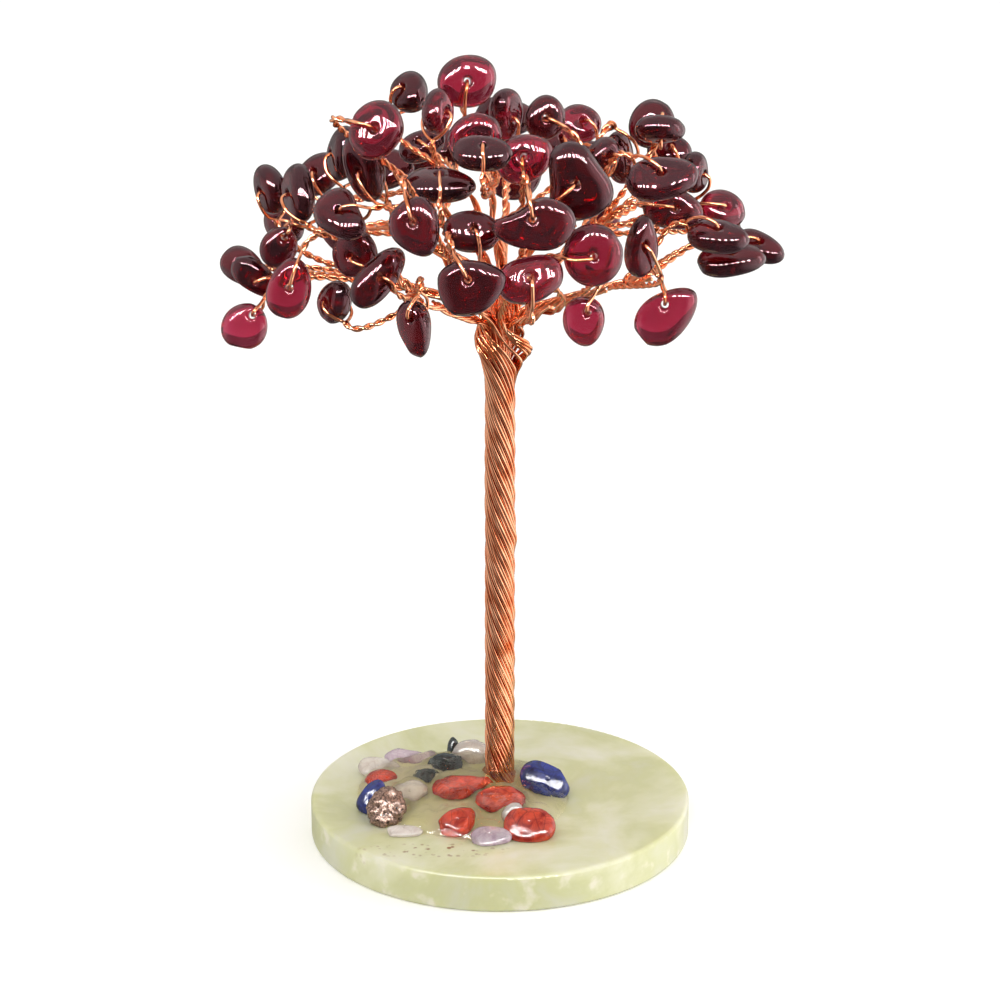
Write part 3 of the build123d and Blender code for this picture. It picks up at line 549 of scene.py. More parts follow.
def stoneMaterial(look):
    material, tree = newMaterial(look["name"])
    place = addNode(tree, "ShaderNodeTexCoord").outputs["Object"]
    cloud = addNode(tree, "ShaderNodeTexNoise", inputs={
        "Vector": place, "Scale": 1 / (look["cloud"] * mm),
        "Detail": 5.0, "Roughness": 0.65, "Distortion": 0.8,
    }).outputs["Fac"]
    share = addNode(tree, "ShaderNodeMapRange", inputs=(cloud, *stonePattern["cloudSpan"])).outputs["Result"]
    clouded = addNode(tree, "ShaderNodeMix", {"data_type": "RGBA"}, {
        0: share, 6: linearColour(look["dark"]), 7: linearColour(look["light"]),
    }).outputs[2]
    cracks = addNode(tree, "ShaderNodeTexVoronoi", {"feature": "DISTANCE_TO_EDGE"}, {
        "Vector": place, "Scale": 1 / (stonePattern["veinSize"] * mm), "Randomness": 1.0,
    }).outputs["Distance"]
    vein = addNode(
        tree, "ShaderNodeMapRange", inputs=(cracks, *stonePattern["veinSpan"]),
    ).outputs["Result"]
    surface = addNode(tree, "ShaderNodeBsdfPrincipled", inputs={
        "Base Color": addNode(tree, "ShaderNodeMix", {"data_type": "RGBA"}, {
            0: vein, 6: clouded, 7: linearColour(look["vein"]),
        }).outputs[2],
        "Metallic": look.get("metal", 0.0),
        "Roughness": addNode(tree, "ShaderNodeMapRange", inputs={
            "Value": cloud, "To Min": look["rough"], "To Max": look["rough"] + stonePattern["duller"],
        }).outputs["Result"],
        "IOR": 1.55,
        "Transmission Weight": look.get("clear", 0.0),
        "Normal": addNode(tree, "ShaderNodeBump", inputs={
            "Height": cloud, "Distance": stonePattern["depth"] * mm, "Strength": 0.5,
        }).outputs["Normal"],
    }).outputs[0]
    addNode(tree, "ShaderNodeOutputMaterial", inputs={"Surface": surface})
    return material


clearGarnet = garnetMaterial("tumbledGarnetClear", garnetLook["clearDensity"])
darkGarnet = garnetMaterial("tumbledGarnetDark", garnetLook["darkDensity"])
copper = copperMaterial()
jade = baseMaterial()
resin = resinMaterial()
stoneMaterials = {node: stoneMaterial(look) for node, (look,) in stoneLooks.items()}
print("stage: materials made")


def canopyPoint(right, ahead, rise):
    return Vector((
        treeSizes["canopyReach"] * right,
        treeSizes["trunkBehind"] - treeSizes["canopyReach"] * ahead,
        treeSizes["trunkTop"] + treeSizes["canopyRise"] * rise,
    ))


# Axes of a chip: along it, across it and out of the face that the viewer sees
def chipAxes(face, lean):
    turned, tilted = (math.radians(angle) for angle in face)
    across = Vector((math.cos(turned), math.sin(turned), 0))
    outward = Vector((
        math.sin(turned) * math.cos(tilted), -math.cos(turned) * math.cos(tilted), math.sin(tilted),
    ))
    rising = outward.cross(across)
    angle = math.radians(lean)
    along = across * math.cos(angle) + rising * math.sin(angle)
    return along, outward.cross(along), outward


# Closed run of count points, each placed by between from its four nearest corners
def closedRun(corners, count, between):
    points = []
    for step in range(count):
        place = step / count * len(corners)
        index, t = int(place), place % 1
        points.append(between(*(corners[(index + k) % len(corners)] for k in (-1, 0, 1, 2)), t))
    return points


# Place at share t of the way from b to c, on a run that passes inside the corners
def softBetween(a, b, c, d, t):
    return (
        a * (1 - t) ** 3 + b * (3 * t ** 3 - 6 * t * t + 4)
        + c * (-3 * t ** 3 + 3 * t * t + 3 * t + 1) + d * t ** 3
    ) / 6


# Smooth closed outline drawn from the corners and stretched to the chip's whole length and breadth
def smoothOutline(kind, length, breadth, count):
    points = closedRun([Vector(corner) for corner in outlineShares[kind]], count, softBetween)
    low = Vector(min(point[axis] for point in points) for axis in (0, 1))
    high = Vector(max(point[axis] for point in points) for axis in (0, 1))
    middle, half = (low + high) / 2, (high - low) / 2
    return [
        Vector(((point.x - middle.x) / half.x * length / 2, (point.y - middle.y) / half.y * breadth / 2))
        for point in points
    ]


chipSteps = {"round": 56, "face": 11, "bore": 2, "reach": 72}

# How tumbling left a chip: its size against the solid one (fill, plump), how square its sides are
# (domePower), how deep its worn flats and lumps go and how wide the lumps are, in millimetres
chipForm = {
    "fill": 1.04, "plump": 1.08, "domePower": 2.8, "wornFlats": 3, "flatDepth": 0.06,
    "lumps": 0.2, "lumpSize": 4.0, "cut": 0.8,
}
hangingForm = dict(chipForm, fill=0.97, plump=0.98, lumps=0.14)  # leaves room to turn on its wire
stoneForm = {
    "fill": 1.0, "domePower": 3.2, "wornFlats": 6, "flatDepth": 0.13,
    "lumps": 0.34, "lumpSize": 2.6, "cut": 0.9,
}
rubbleForm = dict(stoneForm, domePower=2.4, wornFlats=5, flatDepth=0.10, lumps=0.55, lumpSize=0.8, cut=0.8)
chipSpread = {"dome": (0.9, 1.15), "flatTilt": 0.9, "noiseSpan": 90}


# Points and faces of one tumbled and drilled chip, in its own axes
def chipShape(kind, length, breadth, thickness, offset, bore, seed, form):
    randomly = random.Random(seed)
    count, faceSteps = chipSteps["round"], chipSteps["face"]
    outline = smoothOutline(kind, length * form["fill"], breadth * form["fill"], count)
    outline = [point + offset for point in outline]
    power = form["domePower"] * randomly.uniform(*chipSpread["dome"])
    profile = []
    for step in range(faceSteps + 1):
        reach = math.sin(math.pi / 2 * step / faceSteps)
        rise = (1 - reach ** power) ** 0.5
        profile.append((reach, rise * thickness / 2))
    under = [(reach, -rise) for reach, rise in reversed(profile[:-1])]
    wall = [
        (0.0, profile[0][1] * (2 * step / (chipSteps["bore"] + 1) - 1))
        for step in range(1, chipSteps["bore"] + 1)
    ]
    loop = profile + under + wall
    flats = []
    for _ in range(form["wornFlats"]):
        flat = Vector(randomly.uniform(-reach, reach) for reach in (1, 1, chipSpread["flatTilt"]))
        flats.append(flat.normalized())
    shift = Vector(randomly.uniform(0, chipSpread["noiseSpan"]) for _ in range(3))
    points, faces = [], []
    for edge in outline:
        inner = edge.normalized() * bore
        for reach, rise in loop:
            flat = inner + (edge - inner) * reach
            point = Vector((flat.x, flat.y, rise))
            if reach > 0:
                lump = noise.noise(point / form["lumpSize"] + shift) * form["lumps"]
                point += Vector((flat.x, flat.y, rise * 2)).normalized() * lump * min(1, reach * 2)
            points.append(point)
    for flat in flats:
        limit = max(point.dot(flat) for point in points) * (1 - form["flatDepth"])
        for point in points:
            past = point.dot(flat) - limit
            if past > 0:
                point -= flat * past * form["cut"]
    rows = len(loop)
    for turn in range(count):
        following = (turn + 1) % count
        for row in range(rows):
            nextRow = (row + 1) % rows
            faces.append((
                turn * rows + row, turn * rows + nextRow,
                following * rows + nextRow, following * rows + row,
            ))
    return points, faces


# New object in the scene that shows the given data
def newObject(name, data):
    thing = bpy.data.objects.new(name, data)
    bpy.context.scene.collection.objects.link(thing)
    return thing


# tones gives a value to every point, dressing the number of a material to every face
def meshPiece(name, points, faces, materials, tones=None, dressing=None):
    mesh = bpy.data.meshes.new(name)
    mesh.from_pydata([tuple(point) for point in points], [], faces)
    if tones:
        mesh.attributes.new("tone", "FLOAT", "POINT").data.foreach_set("value", tones)
    for material in materials:
        mesh.materials.append(material)
    mesh.polygons.foreach_set("use_smooth", [True] * len(mesh.polygons))
    if dressing:
        mesh.polygons.foreach_set("material_index", dressing)
    mesh.update()
    return newObject(name, mesh)


def garnetSizes(chip):
    longShare, broadShare, thickShare = chip["size"]
    length = chipSizes["length"]
    return length * longShare, length * broadShare, chipSizes["thickness"] * thickShare


def garnetOffset(chip):
    away = math.radians(chip["neck"] - chip["lean"] + 180)
    drop = chipSizes["length"] * chip.get("drop", 0)
    return Vector((drop * math.cos(away), drop * math.sin(away)))


# Tones of the garnets whose row gives none, and the tone from which a garnet is of the clear grade
toneRule = {"darkest": 0.15, "step": 0.05, "kinds": 7, "clearFrom": 0.5}


def garnetPiece(name, chips):
    points, faces, tones, dressing = [], [], [], []
    for chip in chips:
        length, breadth, thickness = garnetSizes(chip)
        seed = sum(ord(letter) for letter in chip["name"]) * 7
        form = hangingForm if chip.get("hangs") else chipForm
        shape, quads = chipShape(
            chip.get("outline", chip["kind"]), length, breadth, thickness * form["plump"],
            garnetOffset(chip), chipSizes["boreRadius"], seed, form,
        )
        middle = canopyPoint(*chip["place"])
        along, broad, outward = chipAxes(chip["face"], chip["lean"])
        start = len(points)
        points += [(middle + along * p.x + broad * p.y + outward * p.z) * mm for p in shape]
        faces += [tuple(start + corner for corner in quad) for quad in quads]
        tone = chip.get("tone", toneRule["darkest"] + seed % toneRule["kinds"] * toneRule["step"])
        tones += [tone] * len(shape)
        dressing += [0 if tone >= toneRule["clearFrom"] else 1] * len(quads)
    return meshPiece(name, points, faces, [clearGarnet, darkGarnet], tones, dressing)


for limb, chips in garnets.items():
    held = [chip for chip in chips if not chip.get("hangs")]
    if held:
        piece = garnetPiece(limb + "_garnets", held)
        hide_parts(limb + "_limb_garnets")
        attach(piece, "root")
    for chip in chips:
        if chip.get("hangs"):
            node = "garnet_" + chip["name"]
            piece = garnetPiece(chip["name"] + "_garnet", [chip])
            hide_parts(node)
            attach(piece, node)
print("stage: garnets made")


# Sweeps a round wire along every path that comes in
def wireSweep():
    tree = bpy.data.node_groups.new("wireSweep", "GeometryNodeTree")
    sockets = tree.interface
    asked = (("Paths", "Geometry"), ("Wire radius", "Float"), ("Sides", "Int"), ("Wire metal", "Material"))
    for name, kind in asked:
        sockets.new_socket(name, in_out="INPUT", socket_type="NodeSocket" + kind)
    sockets.new_socket("Wires", in_out="OUTPUT", socket_type="NodeSocketGeometry")
    given = addNode(tree, "NodeGroupInput")
    section = addNode(
        tree, "GeometryNodeCurvePrimitiveCircle",
        inputs={"Radius": given.outputs["Wire radius"], "Resolution": given.outputs["Sides"]},
    )
    swept = addNode(
        tree, "GeometryNodeCurveToMesh",
        inputs={
            "Curve": given.outputs["Paths"], "Profile Curve": section.outputs["Curve"], "Fill Caps": True,
        },
    )
    smooth = addNode(tree, "GeometryNodeSetShadeSmooth", inputs={"Geometry": swept.outputs["Mesh"]})
    real = addNode(tree, "GeometryNodeRealizeInstances", inputs={"Geometry": smooth.outputs["Geometry"]})
    dressed = addNode(
        tree, "GeometryNodeSetMaterial",
        inputs={"Geometry": real.outputs["Geometry"], "Material": given.outputs["Wire metal"]},
    )
    addNode(tree, "NodeGroupOutput", inputs={"Wires": dressed.outputs["Geometry"]})
    return tree


wireTree = wireSweep()


def wirePiece(name, paths, sides=8):
    curve = bpy.data.curves.new(name + "_paths", "CURVE")
    curve.dimensions = "3D"
    for path in paths:
        spline = curve.splines.new("POLY")
        spline.points.add(len(path) - 1)
        spline.points.foreach_set("co", [
            value for p in path for value in (p.x * mm, p.y * mm, p.z * mm, 1.0)
        ])
    holder = newObject(name + "_paths", curve)
    modifier = holder.modifiers.new("wireSweep", "NODES")
    modifier.node_group = wireTree
    values = {"Wire radius": treeSizes["wireLooks"] * mm, "Sides": sides, "Wire metal": copper}
    for item in wireTree.interface.items_tree:
        if item.in_out == "INPUT" and item.name in values:
            modifier[item.identifier] = values[item.name]
    graph = bpy.context.evaluated_depsgraph_get()
    mesh = bpy.data.meshes.new_from_object(holder.evaluated_get(graph), depsgraph=graph)
    bpy.data.objects.remove(holder)
    return newObject(name, mesh)


# Path over one corner, rounded from run before the corner to run after it
def roundedPath(start, corner, end, run, steps=6):
    before = corner + (start - corner).normalized() * run
    after = corner + (end - corner).normalized() * run
    shares = [step / steps for step in range(steps + 1)]
    bow = [before * (1 - t) ** 2 + corner * 2 * t * (1 - t) + after * t ** 2 for t in shares]
    return [start, *bow, end]


# The same path with points at an even step
def evenPath(path, step):
    points = [path[0]]
    left = step
    for first, second in zip(path, path[1:]):
        run = (second - first).length
        while run >= left and run > 0:
            first = first + (second - first).normalized() * left
            points.append(first)
            run -= left
            left = step
        left -= run
    if (path[-1] - points[-1]).length > step * 0.3:
        points.append(path[-1])
    return points


# Axes carried along a path without twisting, from a given first side
def carriedSides(path, side):
    sides = []
    tangent = (path[1] - path[0]).normalized()
    side = (side - tangent * side.dot(tangent)).normalized()
    for index in range(len(path)):
        following = path[min(index + 1, len(path) - 1)] - path[max(index - 1, 0)]
        tangent = following.normalized()
        side = (side - tangent * side.dot(tangent)).normalized()
        sides.append((side, tangent.cross(side)))
    return sides


# One wire that winds round a path
def woundWire(path, sides, radius, lay, phase):
    wire, run = [], 0.0
    for index, point in enumerate(path):
        if index:
            run += (point - path[index - 1]).length
        angle = phase + 2 * math.pi * run / lay
        side, other = sides[index]
        wire.append(point + side * math.cos(angle) * radius + other * math.sin(angle) * radius)
    return wire


# Bow from start to end that leaves toward one handle and arrives from the other
def curvedRun(start, startHandle, endHandle, end, steps=24):
    return [
        start * (1 - t) ** 3 + startHandle * 3 * t * (1 - t) ** 2
        + endHandle * 3 * t * t * (1 - t) + end * t ** 3
        for t in (step / steps for step in range(steps + 1))
    ]


# Place at share t of the way from b to c, on a smooth run through a, b, c and d
def smoothBetween(a, b, c, d, t):
    return (
        b * 2 + (c - a) * t + (a * 2 - b * 5 + c * 4 - d) * t * t + (b * 3 - a - c * 3 + d) * t ** 3
    ) * 0.5


# Smooth run through all the given points
def throughPoints(points, steps):
    ends = [points[0] * 2 - points[1]] + points + [points[-1] * 2 - points[-2]]
    path = [points[0]]
    for run in zip(ends, ends[1:], ends[2:], ends[3:]):
        path += [smoothBetween(*run, step / steps) for step in range(1, steps + 1)]
    return path


# The stem's two legs, each leg millimetres from its middle, and the loop. It turns out at pastEdge beyond
# the chip's edge, runs over the face at faceReach and boreReach of the way from the bore to the edge, stands
# standsOut off the chip and was bent by hand, as unevenly as slack says
stemForm = {
    "lay": 2.9, "pointStep": 0.22, "leg": 0.212, "neckHandle": 0.36, "forkPull": 0.2, "forkDepth": 1.0,
    "slack": 0.12, "loopSteps": 6, "standsOut": 0.1, "pastEdge": 0.2, "edgeLift": 0.62, "edgeOut": 0.5,
    "faceReach": 0.68, "faceLift": 0.05, "boreReach": 0.2, "boreLift": 0.12, "boreTurn": 0.5,
}


# How far the chip's edge lies from its bore on the side where the wires leave
def edgeReach(chip):
    length, breadth, _ = garnetSizes(chip)
    room = math.atan((chipSizes["beadDiameter"] + 2 * chipSizes["loopGap"]) / breadth)
    if chip.get("hangs"):
        room += math.radians(chipSizes["swing"])
    bearing = math.radians(chip["neck"] - chip["lean"])
    reach = 0
    for point in smoothOutline(chip["kind"], length, breadth, chipSteps["reach"]):
        point = point + garnetOffset(chip)
        away = math.atan2(point.y, point.x) - bearing
        away = abs((away + math.pi) % (2 * math.pi) - math.pi)
        if away <= room:
            reach = max(reach, point.length)
    return reach


# The two legs of a chip's wire, twisted up the stem, and the loop between them: one unbroken wire
def chipWire(chip, fork, limbRun):
    thickness = garnetSizes(chip)[2]
    middle = canopyPoint(*chip["place"])
    toNeck, across, outward = chipAxes(chip["face"], chip["neck"])
    edge = edgeReach(chip)
    neckAt = edge + chipSizes["neckRun"]
    lift = thickness * chipForm["plump"] / 2 + chipSizes["loopGap"] + treeSizes["wireRadius"]
    leg = stemForm["leg"]
    randomly = random.Random(chip["name"])
    slack = [randomly.uniform(-stemForm["slack"], stemForm["slack"]) for _ in range(4)]
    bulge = chip.get("opens", 0) + stemForm["standsOut"]
    side = [
        (neckAt, leg, 0),
        (edge + stemForm["pastEdge"], lift * stemForm["edgeLift"] + bulge * stemForm["edgeOut"], slack[0]),
        (edge * stemForm["faceReach"], lift + stemForm["faceLift"] + bulge, slack[1] * 2),
        (edge * stemForm["boreReach"], lift + stemForm["boreLift"] + bulge, slack[1]),
        (0, lift * stemForm["boreTurn"], 0),
    ]
    other = [(x, -y, z - 2 * slack[2]) for x, y, z in reversed(side[:-1])]
    other[-1] = (neckAt, -leg, 0)
    corners = side + [(0, -lift * stemForm["boreTurn"], 0)] + other
    loop = throughPoints(
        [middle + toNeck * x + outward * y + across * z for x, y, z in corners], stemForm["loopSteps"],
    )
    neck = middle + toNeck * neckAt
    away = fork - neck
    route = curvedRun(
        neck,
        neck + toNeck * away.length * stemForm["neckHandle"] + Vector(chip.get("bends", (0, 0, 0))),
        fork - away.normalized() * away.length * stemForm["forkPull"],
        fork - limbRun * stemForm["forkDepth"],
    )
    route = evenPath(route, stemForm["pointStep"])
    sides = carriedSides(route, outward)
    first = woundWire(route, sides, leg, stemForm["lay"], 0)
    second = woundWire(route, sides, leg, stemForm["lay"], math.pi)
    return list(reversed(first)) + loop[1:-1] + second


# Limb bundles. A limb's wires come out of the trunk over the run from joinFrom to joinTo. Those that it
# doesn't take from the trunk's outside start inside, insideAway from the axis
limbForm = {
    "wires": 6, "ring": 0.42, "lay": 8.5, "pointStep": 0.35, "sides": 7, "outerLimbs": 10,
    "joinBelow": 4.0, "joinFrom": 4.5, "joinTo": 11.5, "endsEarlier": 0.22,
    "insideAway": 1.25, "insideStep": 0.4, "insideTurn": 0.3,
}

# The trunk. sway and waver: how far a wire wanders sideways (in radians) and outward, over how many
# millimetres of height, and how far ahead the next wire is. swells: height, length, bearing, how
# narrow and how far out
trunkForm = {
    "pointStep": 0.5, "sides": 10, "split": 4.0, "overlap": 0.12, "takenAt": 72.0, "wiresEnd": 73.0,
    "sway": (0.03, 9.0, 2.4), "waver": (0.07, 3.7, 1.9), "sunk": 0.09, "sunkEach": 3,
    "flareFrom": 60.5, "flareTo": 71.0, "flareOut": 1.3, "ribbons": 5, "ribbonDraw": 0.2,
    "swells": {
        "bump": (41.0, 1.7, -15.0, 8, 0.32),
        "bow": (67.0, 2.7, -22.0, 9, 1.9),
        "ear": (69.6, 3.4, 200.0, 6, 1.3),
    },
}


def smoothStep(value, low, high):
    value = min(1.0, max(0.0, (value - low) / (high - low)))
    return value * value * (3 - 2 * value)


# How far a local swelling of the trunk stands out at a place
def swell(bearing, height, name):
    level, length, side, narrow, out = trunkForm["swells"][name]
    near = max(0.0, math.cos(bearing - math.radians(side))) ** narrow
    level = (height - level) / length
    return near * math.exp(-level * level) * out


def wander(name, number, height):
    size, run, ahead = trunkForm[name]
    return size * math.sin(height / run + number * ahead)


def roundTrunk(radius, bearing, height):
    return Vector((
        radius * math.cos(bearing), treeSizes["trunkBehind"] + radius * math.sin(bearing), height,
    ))


# Where a trunk wire stands at a height: the lay turns clockwise as it climbs
def trunkPlace(number, height):
    wires = treeSizes["trunkWires"]
    climbed = (height - treeSizes["baseThickness"]) / treeSizes["trunkLay"]
    bearing = 2 * math.pi * (number / wires - climbed)
    bearing += wander("sway", number, height)
    radius = treeSizes["trunkRing"] + wander("waver", number, height)
    radius += swell(bearing, height, "bump")
    if number % trunkForm["sunkEach"] == 0:
        radius -= trunkForm["sunk"]
    flare = smoothStep(height, trunkForm["flareFrom"], trunkForm["flareTo"])
    ribbon = math.sin(trunkForm["ribbons"] * 2 * math.pi * number / wires)
    bearing += trunkForm["ribbonDraw"] * flare * ribbon
    radius += trunkForm["flareOut"] * flare + swell(bearing, height, "bow")
    radius += swell(bearing, height, "ear")
    return roundTrunk(radius, bearing, height), bearing


def limbRoute(limb):
    right, ahead, rise, bendShare, ring, bearing = limbShares[limb]
    radius = treeSizes["crownRing"] if ring == "outer" else treeSizes["crownCore"]
    top = treeSizes["trunkTop"]
    start = roundTrunk(radius, math.radians(bearing), top + treeSizes["seatGap"])
    bend = Vector((start.x, start.y, top + treeSizes["canopyRise"] * bendShare))
    end = canopyPoint(right, ahead, rise)
    shorter = min((bend - start).length, (end - bend).length)
    return start, bend, end, shorter * treeSizes["bendRunShare"]


# Trunk wires that this limb takes up, the nearest ones on an outer limb
def wiresTaken(limb):
    ring, bearing = limbShares[limb][4:]
    if ring != "outer":
        return []
    taken = []
    reach = math.pi / limbForm["outerLimbs"]
    for number in range(treeSizes["trunkWires"]):
        place = trunkPlace(number, trunkForm["takenAt"])[1]
        away = (place - math.radians(bearing) + math.pi) % (2 * math.pi) - math.pi
        if -reach <= away < reach:
            taken.append(number)
    return taken


# All the wires of a limb: its bundle, each wire ending a little before the next, and one wire per chip
def limbPaths(limb):
    start, bend, end, run = limbRoute(limb)
    direction = (end - bend).normalized()
    below = start - Vector((0, 0, limbForm["joinBelow"]))
    route = evenPath(roundedPath(below, bend, end, run), limbForm["pointStep"])
    sides = carriedSides(route, Vector((1, 0, 0)))
    total = sum((b - a).length for a, b in zip(route, route[1:]))
    taken = wiresTaken(limb)
    count = limbForm["wires"]
    paths = []
    for number in range(count):
        wire = woundWire(route, sides, limbForm["ring"], -limbForm["lay"], 2 * math.pi * number / count)
        keep = total * (1 - limbForm["endsEarlier"] * (number // 2))
        blended, travelled = [], 0.0
        for index, point in enumerate(wire):
            if index:
                travelled += (route[index] - route[index - 1]).length
            if travelled > keep:
                break
            share = smoothStep(travelled, limbForm["joinFrom"], limbForm["joinTo"])
            if number < len(taken):
                source = trunkPlace(taken[number], min(below.z + travelled, trunkForm["wiresEnd"]))[0]
            else:
                angle = math.radians(limbShares[limb][5]) + (number - count // 2) * limbForm["insideTurn"]
                away = limbForm["insideAway"] - limbForm["insideStep"] * (number % 2)
                source = roundTrunk(away, angle, below.z + travelled)
            blended.append(source * (1 - share) + point * share)
        paths.append(blended)
    order = sorted(garnets[limb], key=lambda chip: (end - bend).angle(neckOf(chip) - end))
    for place, chip in enumerate(order):
        fork = end - direction * (treeSizes["forkStep"] * place + treeSizes["hubDiameter"] / 4)
        paths.append(chipWire(chip, fork, direction))
    return paths


def neckOf(chip):
    toNeck = chipAxes(chip["face"], chip["neck"])[0]
    return canopyPoint(*chip["place"]) + toNeck * (edgeReach(chip) + chipSizes["neckRun"])


for limb in garnets:
    piece = wirePiece(limb + "_wires", limbPaths(limb), limbForm["sides"])
    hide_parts(limb + "_limb_wires")
    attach(piece, "root")
print("stage: limbs and loops wound")


def trunkPiece():
    foot = treeSizes["baseThickness"] + treeSizes["seatGap"]
    splitAt = treeSizes["trunkTop"] - trunkForm["split"] + trunkForm["overlap"]
    steps = int((splitAt - foot) / trunkForm["pointStep"])
    heights = [foot + (splitAt - foot) * step / steps for step in range(steps + 1)]
    paths = [
        [trunkPlace(number, height)[0] for height in heights] for number in range(treeSizes["trunkWires"])
    ]
    piece = wirePiece("trunk_wires", paths, trunkForm["sides"])
    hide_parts("trunk_twisted_wires")
    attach(piece, "root")


trunkPiece()
for node, material in (("trunk_straight_wires", copper), ("base_disc", jade)):
    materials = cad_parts[node].data.materials
    materials.clear()
    materials.append(material)
print("stage: trunk laid")


# sink: how deep the stones stand in the resin, bore: too fine to show, seedStep: makes each one different
stoneSizes = {
    "length": 6.0, "thickness": 2.3, "resinHeight": 2.4, "sink": 0.45, "castGap": 0.05, "bore": 0.01,
    "seedStep": 31,
}


def stonesPiece(node, chips):
    points, faces = [], []
    floor = treeSizes["baseThickness"] + stoneSizes["castGap"]
    for number, chip in enumerate(chips):
        longShare, broadShare, thickShare = chip["size"]
        shape, quads = chipShape(
            chip["kind"], stoneSizes["length"] * longShare, stoneSizes["length"] * broadShare,
            stoneSizes["thickness"] * thickShare, Vector((0, 0)), stoneSizes["bore"],
            number * stoneSizes["seedStep"] + len(node),
            rubbleForm if node == "pyrite_chip" else stoneForm,
        )
        right, ahead, rise = chip["place"]
        middle = Vector((
            treeSizes["baseRadius"] * right, -treeSizes["baseRadius"] * ahead,
            treeSizes["baseThickness"] + stoneSizes["resinHeight"] * rise - stoneSizes["sink"],
        ))
        along, broad, outward = chipAxes(chip["face"], chip["lean"])
        start = len(points)
        for p in shape:
            point = middle + along * p.x + broad * p.y + outward * p.z
            point.z = max(point.z, floor)
            points.append(point * mm)
        faces += [tuple(start + corner for corner in quad) for quad in quads]
    piece = meshPiece(node + "_polished", points, faces, [stoneMaterials[node]])
    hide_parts(node)
    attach(piece, "root")


for node, chips in stones.items():
    stonesPiece(node, chips)
print("stage: stones laid")


# The poured pool: domed, drawn up a little round each stone and the trunk
resinForm = {
    "length": 28.0, "breadth": 27.0, "left": 5.0, "ahead": 1.0, "height": 2.1, "sunk": 0.03,
    "edgePower": 3.2, "fallPower": 0.62, "ripple": 0.40, "rippleSize": 1.6, "rippleSlice": 4,
    "draw": 0.95, "drawSize": 0.85, "drawFrom": 0.42, "calmPower": 8, "round": 120, "rings": 44,
}
resinOutlineShares = (
    (1, 0.1), (0.7, 0.74), (0.1, 0.92), (-0.5, 0.86), (-0.96, 0.4), (-0.9, -0.35), (-0.36, -0.82),
    (0.3, -1), (0.84, -0.62),
)


def resinPiece():
    centre = Vector((-resinForm["left"], -resinForm["ahead"]))
    half = resinForm["length"] / 2, resinForm["breadth"] / 2
    corners = [
        Vector((half[0] * x - resinForm["left"], half[1] * y - resinForm["ahead"]))
        for x, y in resinOutlineShares
    ]
    outline = closedRun(corners, resinForm["round"], smoothBetween)
    floor = treeSizes["baseThickness"]
    cast = [
        (treeSizes["baseRadius"] * stone["place"][0], -treeSizes["baseRadius"] * stone["place"][1],
         stoneSizes["length"] * stone["size"][0] * resinForm["drawFrom"])
        for chips in stones.values() for stone in chips
    ] + [(0.0, treeSizes["trunkBehind"], treeSizes["trunkRing"])]

    def resinRise(x, y, reach):
        rise = resinForm["height"] * (1 - reach ** resinForm["edgePower"]) ** resinForm["fallPower"]
        slice = Vector((x, y, resinForm["rippleSlice"]))
        ripple = noise.noise(slice / resinForm["rippleSize"]) * resinForm["ripple"]
        drawn = 0.0
        for stoneX, stoneY, size in cast:
            gap = max(0.0, math.hypot(x - stoneX, y - stoneY) - size) / resinForm["drawSize"]
            drawn = max(drawn, math.exp(-gap * gap))
        calm = 1 - reach ** resinForm["calmPower"]
        return max(0.0, rise + (ripple + resinForm["draw"] * drawn) * calm)

    points, faces = [Vector((centre.x, centre.y, floor + resinRise(centre.x, centre.y, 0)))], []
    rings = resinForm["rings"]
    for ring in range(1, rings + 1):
        reach = math.sin(math.pi / 2 * ring / rings)
        for edge in outline:
            flat = centre + (edge - centre) * reach
            height = floor + resinRise(flat.x, flat.y, reach) if ring < rings else floor - resinForm["sunk"]
            points.append(Vector((flat.x, flat.y, height)))
    points.append(Vector((centre.x, centre.y, floor - resinForm["sunk"])))
    count = resinForm["round"]
    last = len(points) - 1
    for turn in range(count):
        following = (turn + 1) % count
        faces.append((0, 1 + turn, 1 + following))
        for ring in range(rings - 1):
            row, below = 1 + ring * count, 1 + (ring + 1) * count
            faces.append((row + turn, below + turn, below + following, row + following))
        row = 1 + (rings - 1) * count
        faces.append((row + turn, last, row + following))
    piece = meshPiece("resin_pool_cast", [point * mm for point in points], faces, [resin])
    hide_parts("resin_pool")
    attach(piece, "root")


resinPiece()
print("stage: resin poured")


# Studio: white paper floor, light from above, a bright side on the right, a dim room in front and on the
# left, and a row of small tall lamps in front that only make the broken glints on polished things
studio = {
    "cameraAway": 420.0, "cameraHeight": 199.0, "cameraPitch": 19.97, "focalPixels": 3479.0,
    "photoPixels": 1000, "sensorWidth": 36.0,
    "skyLight": 1.02, "backLight": 0.30, "rightLight": 2.0, "leftLight": 0.9, "roomLight": 0.18,
    "floorSize": 3.0, "floorGlow": 0.12, "paperRing": (0.11, 0.75), "paperSteps": 64, "paperLight": 1.0,
    "paperRise": 0.0002, "sidePower": 0.38, "keyPower": 0.42,
    "barPower": 0.6, "barLamps": 11, "barStep": 76.0, "barAt": (-25.0, -350.0, 350.0),
    "lampSize": (0.03, 0.09),
}

# Sides of the room, each with the share of a ray's direction at which its light starts and is full
roomSides = (
    ("Y", 0.30, 0.80, "backLight"), ("X", -0.60, -0.90, "leftLight"),
    ("X", 0.50, 0.80, "rightLight"), ("Z", 0.35, 0.60, "skyLight"),
)


def areaLight(name, place, target, size, power):
    data = bpy.data.lights.new(name, "AREA")
    data.energy = power
    data.shape = "RECTANGLE"
    data.size, data.size_y = size
    lamp = newObject(name, data)
    lamp.location = place
    lamp.rotation_euler = (Vector(target) - Vector(place)).to_track_quat("-Z", "Y").to_euler()
    return lamp


